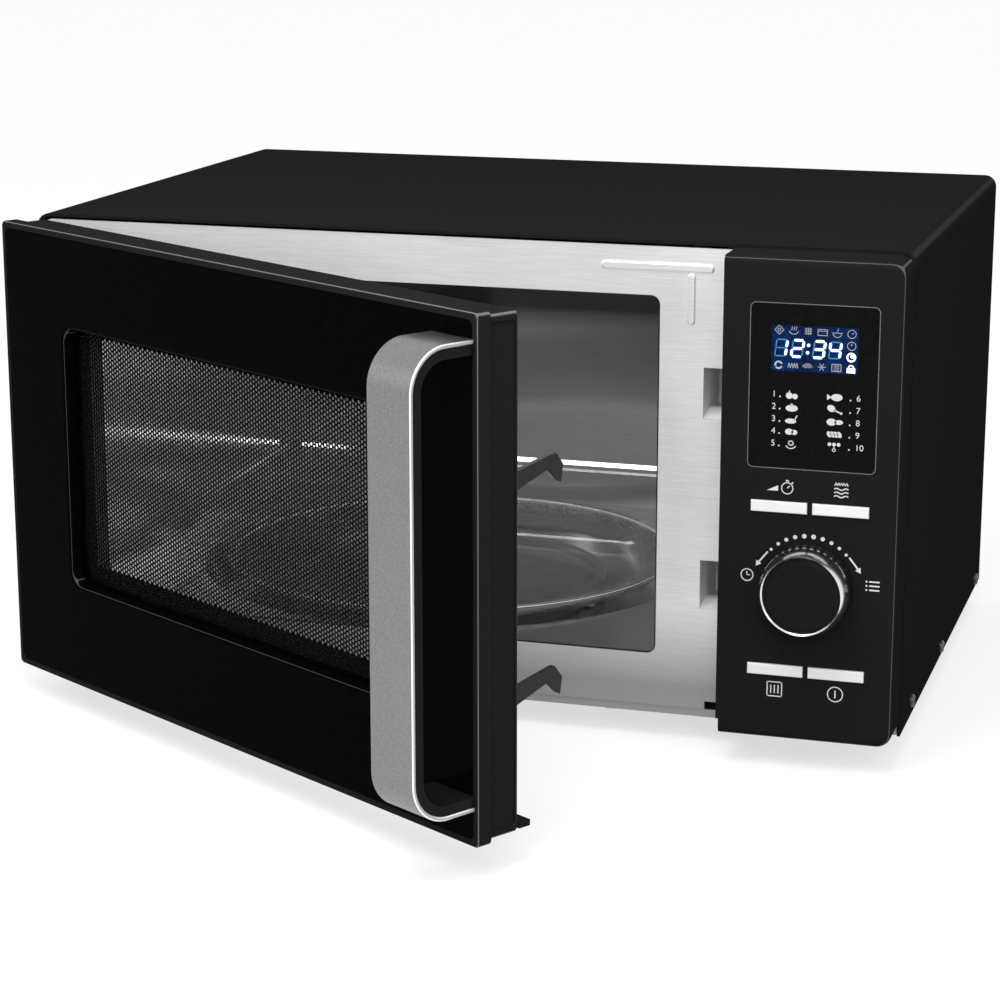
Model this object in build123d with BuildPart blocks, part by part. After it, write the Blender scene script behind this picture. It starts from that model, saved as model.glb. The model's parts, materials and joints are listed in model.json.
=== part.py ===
from build123d import *
from math import cos, radians, sin
import os

# A black countertop microwave oven with its door standing ajar.
# Millimetres, X to the right, Y to the back, Z up.
# The origin lies on the table, under the middle of the cabinet.

# Cabinet
cab_w = 483.0  # outer width of the wrap
cab_h = 254.0  # height of the wrap
cab_d = 320.0  # depth of the wrap
foot_h = 14.0  # height of the feet
sheet = 0.8  # steel sheet
wrap_bend = 7.0  # outer bend radius of the wrap's upper edges
hem_d = 9.0  # depth of the folded hem along the wrap's front edge
slip = 0.3  # play between pieces that slip into one another
flange_h = 12.0  # turned-up edge of the base, turned-in edge of the back

# Front plate
front_recess = 1.0  # front plate behind the wrap's front edge
plate_low = 4.5  # its lower edge above the wrap's
plate_top = 3.0  # its upper edge below the wrap's
bead_rise = 0.8  # raised stiffening beads
bead_taper = 50.0  # slope of their sides, degrees
bead_crest = 0.7  # rounding along their tops
bead_across = (60.0, 4.8)  # length and width of the level bead
bead_upright = (27.0, 4.4)  # length and width of the upright bead
bead_level_z = 14.9  # level bead above the cavity opening
bead_level_x = 1.6  # level bead's middle left of the cavity opening's edge
bead_upright_x = 16.4  # upright bead's middle right of that edge
bead_upright_z = 1.2  # upright bead's middle below the opening's upper edge
cable_hole = (30.0, 18.0)  # pass-through behind the control panel

# Cavity
compartment_w = 131.5  # right side of the cabinet to the cavity
cav_left = 25.5  # left side of the cabinet to the cavity
cav_low = 33.0  # cavity opening above the wrap's lower edge
cav_top = 28.5  # cavity opening below the wrap's upper edge
cav_behind = 12.5  # cavity to the cabinet's back
cav_corner = 5.0  # corner radius of the cavity opening
ceiling_lift = 2.0  # ceiling above the opening's upper edge
wall_bead_z = 21.0  # pressed bead above the cavity floor
wall_bead_h = 7.0  # its height
wall_bead_d = 2.2  # its depth
bead_end = 8.0  # plain wall left at both ends of a bead
grill_recess = 10.0  # depth of the pressed hood over the grill
grill_recess_w = 210.0  # width of the hood
grill_recess_d = 190.0  # depth of the hood, front to back
hood_corner = 26.0  # corner radius of the hood
hood_taper = 40.0  # slope of the hood's sides, degrees

# Door and control panel
front_d = 28.0  # stand-out in front of the wrap
front_low = 2.0  # lower edge above the wrap's
front_top = 1.5  # upper edge below the wrap's
door_gap = 1.0  # gap between door and control panel
seal_gap = 1.2  # back of the shut door to the wrap's front edge
open_angle = 31.0  # how far the door stands open, degrees
hinge_inset = 6.0  # hinge axis from the cabinet's left side
hinge_fwd = 5.0  # hinge axis in front of the wrap's front edge
pin_r = 1.9  # hinge pins
pin_l = 12.0  # hinge pin length
run_fit = 0.05  # radial clearance of a pin or shaft that turns
hinge_t = 2.0  # hinge plates
hinge_half = 3.9  # half width of the hinge plates
hinge_leg = 14.0  # upright leg of the hinge plates
hinge_top = 7.5  # upper hinge plate below the door's upper edge
hinge_low = 11.5  # lower hinge plate above the door's lower edge
hinge_room = 0.7  # room round the hinge plates in the door
boss_r = 3.7  # hinge bosses of the door
door_corner = 3.0  # corner radius of the door
edge_step = 1.6  # door body inside its front rim
rim_d = 8.0  # depth of the front rim
rim_w = 3.5  # visible width of the rim round the glossy panel
panel_t = 3.0  # glossy panel
panel_ledge = 3.0  # ledge that carries the panel
frame_back = 2.0  # back wall of the door frame
edge_round = 1.2  # small edge rounding
rear_chamfer = 1.5  # chamfer round the door's back
strip_d = 0.8  # sunk strip in the door's opening edge
strip_edge = 1.2  # plain edge on both long sides of the strip
strip_end = 4.0  # plain edge at both ends of the strip
strip_corner = 1.0  # corner radius of the strip
screen_margin = 14.0  # door's edge to the opening in its back
latch_channel = 24.0  # door's opening edge to that opening
screen_lap = 3.0  # lap of the screen on the frame's back wall
win_left = 57.0  # window recess from the hinge side
win_right = 57.0  # window recess from the opening side
win_low = 57.5  # window recess above the door's lower edge
win_top = 52.0  # window recess below the door's upper edge
win_corner = 8.0  # corner radius of the recess
win_d = 6.4  # depth of the recess
win_round = 2.5  # rounded mouth of the recess
collar_t = 2.0  # collar round the recess
pane_t = 2.0  # window panes
pane_lap = 6.0  # lap of a pane behind its opening
screen_gap = 0.4  # pane to screen
field_inset = 8.0  # raised field of the screen inside the pane's edge
screen_taper = 18.0  # slope of the raised field's sides, degrees
field_corner = 14.0  # corner radius of the raised field
choke_lip = 14.0  # inner edge of the choke cover round the inner window
lug = (9.0, 7.0, 3.0)  # lug at the door's lower back corner: width, reach, height
lug_play = 0.8  # room round the lug in the cabinet's front

# Handle
handle_w = 30.0  # width of the handle
handle_edge = 2.0  # handle to the door's opening edge
handle_out = 37.4  # reach in front of the door
handle_low = 18.0  # lower end above the door's lower edge
handle_top = 12.0  # upper end below the door's upper edge
handle_r = 21.0  # outer bend radius
band_t = 2.0  # metal band
liner_t = 5.0  # plastic liner behind the band
liner_side = 0.8  # liner narrower than the band, each side
band_edge = 0.5  # chamfer along the band

# Latch
hook_t = 3.0  # thickness of the hooks
hook_edge = 7.0  # hooks to the door's opening edge
barb_up = 63.2  # lower hook's barb above the wrap's lower edge
hook_pitch = 102.8  # lower hook to upper hook
# Hook outline from throat to shoulder: behind the door's back, above the barb's point
hook_outline = ((21.8, 6.9), (27.0, 1.8), (30.9, 0.0), (32.2, 8.4), (27.6, 14.3), (25.0, 14.0))
hook_arm = (-0.9, 8.3)  # underside and top of a hook's arm at the door, from the barb's point
latch_travel = 4.5  # lift of the latch bar
bar_w = 6.0  # latch bar along the door
bar_d = 8.0  # latch bar front to back
bar_over = 24.0  # bar past the hooks, both ends
slot_side = 1.6  # room beside the hooks in the door's back
spring_r = 2.4  # mean radius of the latch spring
spring_wire = 0.8  # wire diameter
spring_turns = 6  # turns of the latch spring
spring_l = 20.0  # length of the latch spring
shelf_t = 2.5  # shelf over the spring
catch_slot_w = 13.5  # slots for the hooks in the front plate
catch_slot_h = 26.7  # their height
catch_slot_low = 3.6  # their lower edge below the barb
catch_slot_x = 23.5  # cavity to the slots' left edge
catch_gap = 0.6  # barb to the catch's sill
board_wall = 2.5  # walls of the latch board
board_d = 40.0  # depth of the latch board
board_over = 14.0  # latch board past the slots, both ends
ramp_d = 12.0  # depth of the ramp in front of each catch
sill_d = 5.0  # depth of each catch's sill
switch_size = (10.0, 28.0, 16.0)  # microswitch: width, depth, height
switch_count = 3  # microswitches on the latch board

# Control panel
fascia_w = 91.5  # width of the control panel
fascia_side = 0.5  # control panel inside the cabinet's right side
fascia_wall = 2.2  # its wall
fascia_corner = 8.0  # its right corners
fascia_round = 3.5  # its rounded front edge
notch = (1.4, 8.0)  # small step in the lower left corner
boss_post = 3.5  # radius of the posts behind the panel
window_w = 65.2  # display window
window_h = 84.5
window_low = 143.5  # above the panel's lower edge
window_corner = 3.0
window_t = 1.2
window_sunk = 0.2  # window behind the panel's face
window_ledge = 3.0
lcd = (50.0, 29.0, 6.0)  # display module: width, height, thickness
lcd_top = 10.5  # module below the window's upper edge
button_w = 28.8  # push buttons
button_h = 5.8
button_proud = 1.2  # buttons in front of the panel
button_travel = 1.0
button_play = 0.3  # room round the buttons
button_pitch = 31.5  # left to right column
button_high = 123.6  # upper row above the panel's lower edge
button_deep = 37.3  # lower row above the panel's lower edge
button_flange = 1.0  # collar that holds a button behind the panel
button_boss = 3.0  # radius of a button's stem
controls_x = 46.5  # middle of the controls from the panel's left edge
pcb = (80.0, 222.0, 1.6)  # control board: width, height, thickness
pcb_low = 14.25  # control board above the panel's lower edge
pcb_back = 11.0  # control board in front of the wrap's front edge
tact = (6.0, 3.5)  # key switch: side and height
knob_z = 82.8  # knob above the panel's lower edge
knob_gap = 0.4  # knob in front of the panel
knob_skirt_r = 23.6
knob_skirt_d = 9.0
knob_ring_r = 22.9
knob_ring_d = 10.5
knob_cap_r = 19.6
knob_lip = 0.7  # front edge of the ring
knob_cap_sunk = 0.8  # cap behind the ring's front edge
knob_wall = 2.4  # shell of the knob
shaft_r = 3.0  # encoder shaft
shaft_collar = 5.0  # outer radius of the encoder's threaded neck
encoder = (14.0, 8.0)  # encoder body: side and height

# Turntable
tray_r = 135.0  # glass tray
tray_rim = 9.8  # height of the tray
tray_base_r = 112.0  # flat underside of the tray
glass_t = 4.5
dish_room = 13.0  # well round the tray
dish_d = 15.5  # depth of the well
dish_run = 8.0  # run of the well's sloping side
roller_r = 6.0
roller_w = 7.0
roller_count = 3
roller_start = -16.5  # first roller from the right, degrees
roller_gap = 0.3  # roller to floor and to tray
ring_r = 92.0  # outer radius of the roller ring
ring_w = 6.0
ring_h = 5.0
axle_r = 1.5
axle_head = 1.5
hub_r = 8.5  # coupler's hub
hub_room = 0.6  # room round the hub in the floor
wing_r = 27.0  # coupler's wings
wing_w = 8.0
wing_h = 5.0
lug_gap = 0.3  # coupler to tray
drive_r = 3.5  # motor shaft
motor_r = 24.5  # turntable motor
motor_h = 12.0
motor_ear = (9.0, 68.0)  # fixing ears: width and span

# Power parts
guide = (38.0, 100.0, 74.0)  # waveguide: width, depth, height
guide_y = 2.0  # its middle behind the cabinet's middle
guide_drop = 34.0  # its top below the wrap's top
guide_lip = 8.0
mouth = (66.0, 40.0)  # its mouth into the cavity: depth and height
mica_lap = 9.0
mica_t = 0.8
antenna_r = 7.5
antenna_l = 26.0
anode_r = 19.0
anode_l = 46.0
fin = (82.0, 64.0, 1.0)  # cooling fin: depth, height, thickness
fin_count = 6
magnet_r = 27.0
magnet_l = 9.0
yoke_t = 1.6
filter_box = (22.0, 54.0, 40.0)
core = (86.0, 72.0, 66.0)  # transformer core: width, depth, height
core_window = (16.0, 40.0)  # its windows: width and height
coil_out = 15.0  # windings past the core
core_foot = (8.0, 1.5)  # core's fixing edge: width and thickness
core_y = -62.0  # transformer's middle from the cabinet's middle
can = (54.0, 34.0, 88.0)  # capacitor: width, thickness, length
can_y = 14.0
tag = (6.3, 0.8, 9.0)  # flat terminals
diode_r = 3.6
diode_l = 24.0
fan_r = 46.0  # fan wheel
fan_hub_r = 12.0
fan_d = 18.0
fan_gap = 3.0  # wheel to its ring
tip_inset = 2.0  # middle of a blade's tip inside the wheel's radius
fan_blades_n = 5
blade_t = 1.4
blade_root = (19.0, 52.0)  # chord and pitch at the hub
blade_tip = (34.0, 28.0)  # chord and pitch at the tip
fan_ring_t = 1.6
fan_plate = 112.0
fan_drop = 68.0  # fan axis below the wrap's top
fan_back = 26.0  # shroud plate in front of the cabinet's back
fan_bar = 14.0  # bar that carries the motor
fan_shaft_r = 2.0
stack = (58.0, 44.0, 16.0)  # motor laminations: width, height, depth
motor_coil = (22.0, 30.0, 22.0)  # fan motor's coil: width, height, depth
lamp_r = 11.0
lamp_l = 34.0
lamp_drop = 26.0  # lamp axis below the ceiling
lamp_y = 72.0  # lamp behind the cabinet's middle
socket_r = 12.5
socket_l = 18.0
vent_hole = (2.2, 6.5, 4, 4)  # cavity vent holes: radius, pitch, columns, rows
cutout_r = 8.0  # thermal cutout
cutout_h = 9.0
heater_r = 3.2  # grill element
heater_run = 150.0  # length of its runs
heater_pitch = 34.0  # distance between its runs
heater_bend = 15.0
heater_tail = 19.0  # upright ends of the element
gland_r = 9.0
gland_bore = 4.0
gland_flange = 2.5
gland_l = 12.0
gland_x = 60.0  # cord gland from the right side
gland_z = 34.0  # cord gland above the wrap's lower edge

# Feet, vents and screws
foot_r = 14.5
foot_round = 2.0
stem_r = 4.0
stem_head = 1.6
stem_taper = 30.0  # slope of the stems' heads, degrees
foot_side = 42.0  # foot middle from the cabinet's sides
foot_front = 55.0  # front feet behind the wrap's front edge
foot_back = 40.0  # rear feet in front of the cabinet's back
mid_foot = 166.5  # fifth foot from the cabinet's right side
vent = (24.0, 4.0)  # vent slots: length and width
vent_pitch = (31.0, 9.0)
vent_grid = (2, 6)  # vents in the base and at the back's far side: columns and rows
fan_vent_grid = (3, 9)  # vents behind the fan: columns and rows
base_vent_y = 14.0  # vents in the base behind the cabinet's middle
screw_r = 1.6
screw_head_r = 3.6
screw_head_h = 2.0
screw_taper = 20.0  # slope of the screw heads, degrees
screw_play = 0.3
screw_l = 5.0
screw_rows = ((36.0, 8.5), (147.0, 6.0), (296.0, 6.0))  # from the front edge and the lower edge

# Places that follow from the sizes above
x_side = cab_w / 2
y_front = -cab_d / 2
y_back = cab_d / 2
z_base = foot_h
z_top = foot_h + cab_h
y_plate = y_front + front_recess
y_plate_back = y_plate + sheet
cav_x0 = cav_left - x_side
cav_x1 = x_side - compartment_w
cav_w = cav_x1 - cav_x0
cav_y0 = y_plate_back
cav_y1 = y_back - cav_behind
cav_d = cav_y1 - cav_y0
cav_z0 = z_base + cav_low
cav_z1 = z_top - cav_top
z_ceiling = cav_z1 + ceiling_lift
x_turn = (cav_x0 + cav_x1) / 2
y_turn = (cav_y0 + cav_y1) / 2
front_z0 = z_base + front_low
front_z1 = z_top - front_top
fascia_x1 = x_side - fascia_side
fascia_x0 = fascia_x1 - fascia_w
fascia_y = y_front - front_d
controls_mid = fascia_x0 + controls_x

# The door's own frame: s along the door from the hinge axis, out in front of that axis
hinge_x = hinge_inset - x_side
hinge_y = y_front - hinge_fwd
swing = radians(open_angle)
along = Vector(cos(swing), -sin(swing), 0)
outward = Vector(-sin(swing), -cos(swing), 0)
door_s0 = -hinge_inset
door_s1 = fascia_x0 - door_gap - hinge_x
door_w = door_s1 - door_s0
door_h = front_z1 - front_z0
door_mid = ((door_s0 + door_s1) / 2, (front_z0 + front_z1) / 2)
out_front = front_d - hinge_fwd
out_back = seal_gap - hinge_fwd
out_rim = out_front - rim_d
out_seat = out_back + frame_back
pane_out = out_front - win_d - pane_t
field_out = pane_out - screen_gap
win_s0 = door_s0 + win_left
win_s1 = door_s1 - win_right
win_z0 = front_z0 + win_low
win_z1 = front_z1 - win_top
win_mid = ((win_s0 + win_s1) / 2, (win_z0 + win_z1) / 2)
win_w = win_s1 - win_s0
win_h = win_z1 - win_z0


def level(z):
    """Plane at a height, seen from above."""
    return Plane.XY.offset(z)


def facing(y):
    """Upright plane that faces the front, x to the right and y up."""
    return Plane.XZ.offset(-y)


def sideways(x):
    """Upright plane that faces right, x to the back and y up."""
    return Plane.YZ.offset(x)


def door_face(out):
    """Plane across the door, x along the door and y up, facing its front."""
    origin = Vector(hinge_x, hinge_y, 0) + outward * out
    return Plane(origin=origin, x_dir=along, z_dir=outward)


def door_level(z):
    """Plane at a height in the door's frame, x along the door and y to its back."""
    return Plane(origin=(hinge_x, hinge_y, z), x_dir=along, z_dir=(0, 0, 1))


def door_side(s):
    """Plane square to the door, x to its back and y up."""
    origin = Vector(hinge_x, hinge_y, 0) + along * s
    return Plane(origin=origin, x_dir=-outward, z_dir=along)


def bent_section(inset, thickness):
    """Section of the bent wrap, a U open at the bottom, inside the cabinet's outline."""
    width = cab_w - 2 * inset
    upper = z_top - inset
    bend = wrap_bend - inset
    with Locations((0, upper - cab_h)):
        RectangleRounded(width, 2 * cab_h, bend)
    with Locations((0, upper - thickness - cab_h)):
        RectangleRounded(width - 2 * thickness, 2 * cab_h, bend - thickness, mode=Mode.SUBTRACT)
    with Locations((0, z_base - cab_h)):
        Rectangle(cab_w, 2 * cab_h, mode=Mode.SUBTRACT)


pieces = {}

# Cabinet

screw_spots = [(y_front + back, z_base + up) for back, up in screw_rows]

with BuildPart() as outer_wrap:
    with BuildSketch(facing(y_back)):
        bent_section(0, sheet)
    extrude(amount=cab_d)
    with BuildSketch(facing(y_front + hem_d)):
        bent_section(sheet, sheet)
    extrude(amount=hem_d)
    with BuildSketch(Plane.YZ):
        with Locations(*screw_spots):
            Circle(screw_r + screw_play)
    extrude(amount=cab_w, both=True, mode=Mode.SUBTRACT)
pieces["outer_wrap"] = outer_wrap

lug_x = fascia_x0 - door_gap - edge_step - lug[0] / 2
lug_z = front_z0 + edge_step + rear_chamfer + lug[2] / 2
lug_slot = (lug[0] + 2 * lug_play, lug[2] + 2 * lug_play)
base_half = x_side - 2 * sheet - 2 * slip
base_y0 = y_plate_back
base_y1 = y_back - sheet
base_mid = (0, (base_y0 + base_y1) / 2)
foot_x = x_side - foot_side
foot_spots = [
    (-foot_x, y_front + foot_front),
    (foot_x, y_front + foot_front),
    (x_side - mid_foot, y_front + foot_front),
    (-foot_x, y_back - foot_back),
    (foot_x, y_back - foot_back),
]
compartment_mid = x_side - compartment_w / 2

with BuildPart() as base_plate:
    with BuildSketch(level(z_base)):
        with Locations(base_mid):
            Rectangle(2 * base_half, base_y1 - base_y0)
    extrude(amount=flange_h)
    with BuildSketch(level(z_base + sheet)):
        with Locations(base_mid):
            Rectangle(2 * base_half - 2 * sheet, base_y1 - base_y0 - 2 * sheet)
    extrude(amount=flange_h, mode=Mode.SUBTRACT)
    with BuildSketch(level(z_base)):
        with Locations(*foot_spots):
            Circle(stem_r + slip)
        with Locations((compartment_mid, base_vent_y)):
            with GridLocations(*vent_pitch, *vent_grid):
                SlotOverall(*vent)
    extrude(amount=sheet, mode=Mode.SUBTRACT)
    with BuildSketch(Plane.YZ):
        with Locations(*screw_spots):
            Circle(screw_r + screw_play)
    extrude(amount=cab_w, both=True, mode=Mode.SUBTRACT)
    with BuildSketch(facing(base_y0 + sheet)):
        with Locations((lug_x, lug_z)):
            Rectangle(*lug_slot)
    extrude(amount=sheet, mode=Mode.SUBTRACT)
pieces["base_plate"] = base_plate

with BuildPart() as feet:
    with BuildSketch(level(0)):
        with Locations(*foot_spots):
            Circle(foot_r)
    extrude(amount=foot_h)
    fillet(feet.faces().group_by(Axis.Z)[0].edges(), foot_round)
    with BuildSketch(level(foot_h)):
        with Locations(*foot_spots):
            Circle(stem_r)
    extrude(amount=sheet)
    with BuildSketch(level(foot_h + sheet)):
        with Locations(*foot_spots):
            Circle(stem_r + stem_head)
    extrude(amount=stem_head, taper=stem_taper)
pieces["feet"] = feet

back_w = cab_w - 2 * sheet - 2 * slip
back_z1 = z_top - sheet - slip
gland_spot = (x_side - gland_x, z_base + gland_z)
fan_spot = (compartment_mid, z_top - fan_drop)

with BuildPart() as back_plate:
    with BuildSketch(facing(y_back)) as outline:
        with Locations((0, (z_base + back_z1) / 2)):
            Rectangle(back_w, back_z1 - z_base)
        fillet(outline.vertices().group_by(Axis.Y)[-1], wrap_bend - sheet - slip)
    extrude(amount=flange_h)
    with BuildSketch(facing(y_back - sheet)) as inside:
        with Locations((0, (z_base + back_z1) / 2 - sheet)):
            Rectangle(back_w - 2 * sheet, back_z1 - z_base)
        fillet(inside.vertices().group_by(Axis.Y)[-1], wrap_bend - 2 * sheet - slip)
    extrude(amount=flange_h, mode=Mode.SUBTRACT)
    with BuildSketch(facing(y_back)):
        with Locations(fan_spot):
            with GridLocations(*vent_pitch, *fan_vent_grid):
                SlotOverall(*vent)
        with Locations((-fan_spot[0], fan_spot[1])):
            with GridLocations(*vent_pitch, *vent_grid):
                SlotOverall(*vent)
        with Locations(gland_spot):
            Circle(gland_r - gland_flange + slip)
    extrude(amount=sheet, mode=Mode.SUBTRACT)
pieces["back_plate"] = back_plate

with BuildPart() as case_screws:
    for side in (-1, 1):
        with BuildSketch(sideways(side * x_side)):
            with Locations(*screw_spots):
                Circle(screw_head_r)
        extrude(amount=side * screw_head_h, taper=screw_taper)
        with BuildSketch(sideways(side * x_side)):
            with Locations(*screw_spots):
                Circle(screw_r)
        extrude(amount=-side * screw_l)
pieces["case_screws"] = case_screws

# Front plate

plate_half = x_side - 2 * sheet - slip
plate_z0 = z_base + plate_low
plate_z1 = z_top - plate_top
barb_z = [z_base + barb_up + n * hook_pitch for n in range(2)]
slot_x0 = cav_x1 + catch_slot_x
slot_mid = slot_x0 + catch_slot_w / 2
slot_z0 = [z - catch_slot_low for z in barb_z]
hinge_upper = front_z1 - hinge_top - hinge_t
hinge_lower = front_z0 + hinge_low
hinge_plates = (hinge_lower, hinge_upper)

with BuildPart() as front_plate:
    with BuildSketch(facing(y_plate_back)) as outline:
        with Locations((0, (plate_z0 + plate_z1) / 2)):
            Rectangle(2 * plate_half, plate_z1 - plate_z0)
        fillet(outline.vertices().group_by(Axis.Y)[-1], wrap_bend)
        with Locations((lug_x, lug_z)):
            Rectangle(*lug_slot, mode=Mode.SUBTRACT)
        with Locations(((cav_x0 + cav_x1) / 2, (cav_z0 + cav_z1) / 2)):
            RectangleRounded(cav_w, cav_z1 - cav_z0, cav_corner, mode=Mode.SUBTRACT)
        with Locations(*[(slot_mid, z + catch_slot_h / 2) for z in slot_z0]):
            Rectangle(catch_slot_w, catch_slot_h, mode=Mode.SUBTRACT)
        with Locations(*[(hinge_x, z + hinge_t / 2) for z in hinge_plates]):
            Rectangle(2 * hinge_half + 2 * slip, hinge_t + 2 * slip, mode=Mode.SUBTRACT)
        with Locations((controls_mid, front_z0 + knob_z)):
            RectangleRounded(*cable_hole, cav_corner, mode=Mode.SUBTRACT)
    extrude(amount=sheet)
    with BuildSketch(facing(y_plate)):
        with Locations((cav_x1 - bead_level_x, cav_z1 + bead_level_z)):
            SlotOverall(*bead_across)
        with Locations((cav_x1 + bead_upright_x, cav_z1 - bead_upright_z)):
            SlotOverall(*bead_upright, rotation=90)
    extrude(amount=bead_rise, taper=bead_taper)
    fillet(front_plate.faces().group_by(Axis.Y)[0].edges(), bead_crest)
pieces["front_plate"] = front_plate

# Cavity, of spot-welded panels

bead_z = cav_z0 + wall_bead_z
bead_slope = wall_bead_d
bead_out = [(0, 0), (wall_bead_d, bead_slope), (wall_bead_d, wall_bead_h - bead_slope), (0, wall_bead_h)]
bead_run = cav_d - 2 * bead_end
guide_mid = (guide_y, z_top - guide_drop - guide[2] / 2)
lamp_spot = (lamp_y, z_ceiling - lamp_drop)


def wall_bead(x, side, hollow):
    """Points of a pressed bead's section on a wall at x that faces the given side."""
    return [(x + side * (d - hollow), bead_z + z) for d, z in bead_out]


with BuildPart() as cavity_left_wall:
    with BuildSketch(facing(cav_y1)):
        with Locations((cav_x0 - sheet / 2, (cav_z0 + z_ceiling) / 2)):
            Rectangle(sheet, z_ceiling - cav_z0)
    extrude(amount=cav_d)
    with BuildSketch(facing(cav_y1 - bead_end)):
        Polygon(*wall_bead(cav_x0, 1, 0), align=None)
    extrude(amount=bead_run)
    with BuildSketch(facing(cav_y1 - bead_end)):
        Polygon(*wall_bead(cav_x0, 1, sheet), align=None)
    extrude(amount=bead_run, mode=Mode.SUBTRACT)
pieces["cavity_left_wall"] = cavity_left_wall

with BuildPart() as cavity_right_wall:
    with BuildSketch(facing(cav_y1)):
        with Locations((cav_x1 + sheet / 2, (cav_z0 + z_ceiling) / 2)):
            Rectangle(sheet, z_ceiling - cav_z0)
    extrude(amount=cav_d)
    with BuildSketch(facing(cav_y1 - bead_end)):
        Polygon(*wall_bead(cav_x1, -1, 0), align=None)
    extrude(amount=bead_run)
    with BuildSketch(facing(cav_y1 - bead_end)):
        Polygon(*wall_bead(cav_x1, -1, sheet), align=None)
    extrude(amount=bead_run, mode=Mode.SUBTRACT)
    with BuildSketch(sideways(cav_x1)):
        with Locations(guide_mid):
            Rectangle(*mouth)
        with Locations(lamp_spot):
            with GridLocations(vent_hole[1], vent_hole[1], vent_hole[2], vent_hole[3]):
                Circle(vent_hole[0])
    extrude(amount=sheet, mode=Mode.SUBTRACT)
pieces["cavity_right_wall"] = cavity_right_wall

liner_mid = ((cav_x0 + cav_x1) / 2, (cav_z0 - sheet + z_ceiling + sheet) / 2)
liner_w = cav_w + 2 * sheet

with BuildPart() as cavity_back_wall:
    with BuildSketch(facing(cav_y1 + sheet)):
        with Locations(liner_mid):
            Rectangle(liner_w, z_ceiling - cav_z0 + 2 * sheet)
    extrude(amount=sheet)
    with BuildSketch(sideways(cav_x0 + bead_end)):
        Polygon(*wall_bead(cav_y1, -1, 0), align=None)
    extrude(amount=cav_w - 2 * bead_end)
    with BuildSketch(sideways(cav_x0 + bead_end)):
        Polygon(*wall_bead(cav_y1, -1, sheet), align=None)
    extrude(amount=cav_w - 2 * bead_end, mode=Mode.SUBTRACT)
pieces["cavity_back_wall"] = cavity_back_wall

heater_x = [x_turn + share * heater_pitch for share in (-1.5, -0.5, 0.5, 1.5)]
heater_y0 = y_turn - heater_run / 2
heater_y1 = y_turn + heater_run / 2

with BuildPart() as cavity_ceiling:
    with BuildSketch(level(z_ceiling)):
        with Locations((x_turn, y_turn)):
            Rectangle(liner_w, cav_d)
    extrude(amount=sheet)
    with BuildSketch(level(z_ceiling + sheet)):
        with Locations((x_turn, y_turn)):
            RectangleRounded(grill_recess_w + 2 * sheet, grill_recess_d + 2 * sheet, hood_corner)
    extrude(amount=grill_recess, taper=hood_taper)
    with BuildSketch(level(z_ceiling)):
        with Locations((x_turn, y_turn)):
            RectangleRounded(grill_recess_w, grill_recess_d, hood_corner)
    extrude(amount=grill_recess, taper=hood_taper, mode=Mode.SUBTRACT)
    with BuildSketch(level(z_ceiling)):
        with Locations((heater_x[0], heater_y1), (heater_x[-1], heater_y1)):
            Circle(heater_r + slip)
    extrude(amount=2 * grill_recess, mode=Mode.SUBTRACT)
pieces["cavity_ceiling"] = cavity_ceiling

turn_axis = Axis((x_turn, y_turn, 0), (0, 0, 1))
turn_plane = Plane(origin=(x_turn, y_turn, 0), x_dir=(1, 0, 0), z_dir=(0, -1, 0))
dish_r = tray_r + dish_room
dish_z = cav_z0 - dish_d
well_r = dish_r - dish_run
hub_hole = hub_r + hub_room

with BuildPart() as cavity_floor:
    with BuildSketch(level(cav_z0 - sheet)):
        with Locations((x_turn, y_turn)):
            Rectangle(liner_w, cav_d)
            Circle(dish_r, mode=Mode.SUBTRACT)
    extrude(amount=sheet)
    with BuildSketch(turn_plane):
        with BuildLine():
            Polyline(
                (hub_hole, dish_z),
                (well_r, dish_z),
                (dish_r, cav_z0),
                (dish_r + sheet, cav_z0),
                (dish_r + sheet, cav_z0 - sheet),
                (well_r + sheet, dish_z - sheet),
                (hub_hole, dish_z - sheet),
                close=True,
            )
        make_face()
    revolve(axis=turn_axis)
pieces["cavity_floor"] = cavity_floor

# Turntable

roller_z = dish_z + roller_gap + roller_r
tray_z = roller_z + roller_r + roller_gap
wing_z1 = tray_z - lug_gap
wing_z0 = wing_z1 - wing_h

with BuildPart() as turntable_tray:
    with BuildSketch(turn_plane):
        with BuildLine():
            bottom = Line((0, tray_z), (tray_base_r, tray_z))
            outer = Spline(
                bottom @ 1,
                (tray_r, tray_z + tray_rim),
                tangents=((1, 0), (1, 2)),
            )
            lip = Line(outer @ 1, (tray_r - glass_t, tray_z + tray_rim))
            inner = Spline(
                lip @ 1,
                (tray_base_r - glass_t, tray_z + glass_t),
                tangents=((-1, -2), (-1, 0)),
            )
            Polyline(inner @ 1, (0, tray_z + glass_t), (0, tray_z))
        make_face()
    revolve(axis=turn_axis)
    fillet(turntable_tray.faces().sort_by(Axis.Z)[-1].edges(), edge_round)
    with BuildSketch(level(tray_z - wing_h)):
        with Locations((x_turn, y_turn)):
            with PolarLocations((hub_r + wing_r) / 2, roller_count, start_angle=180 / roller_count):
                RectangleRounded(wing_r - hub_r - 4 * slip, wing_w, edge_round)
    extrude(amount=wing_h)
pieces["turntable_tray"] = turntable_tray

motor_top = dish_z - sheet
motor_z0 = motor_top - motor_h

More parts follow.
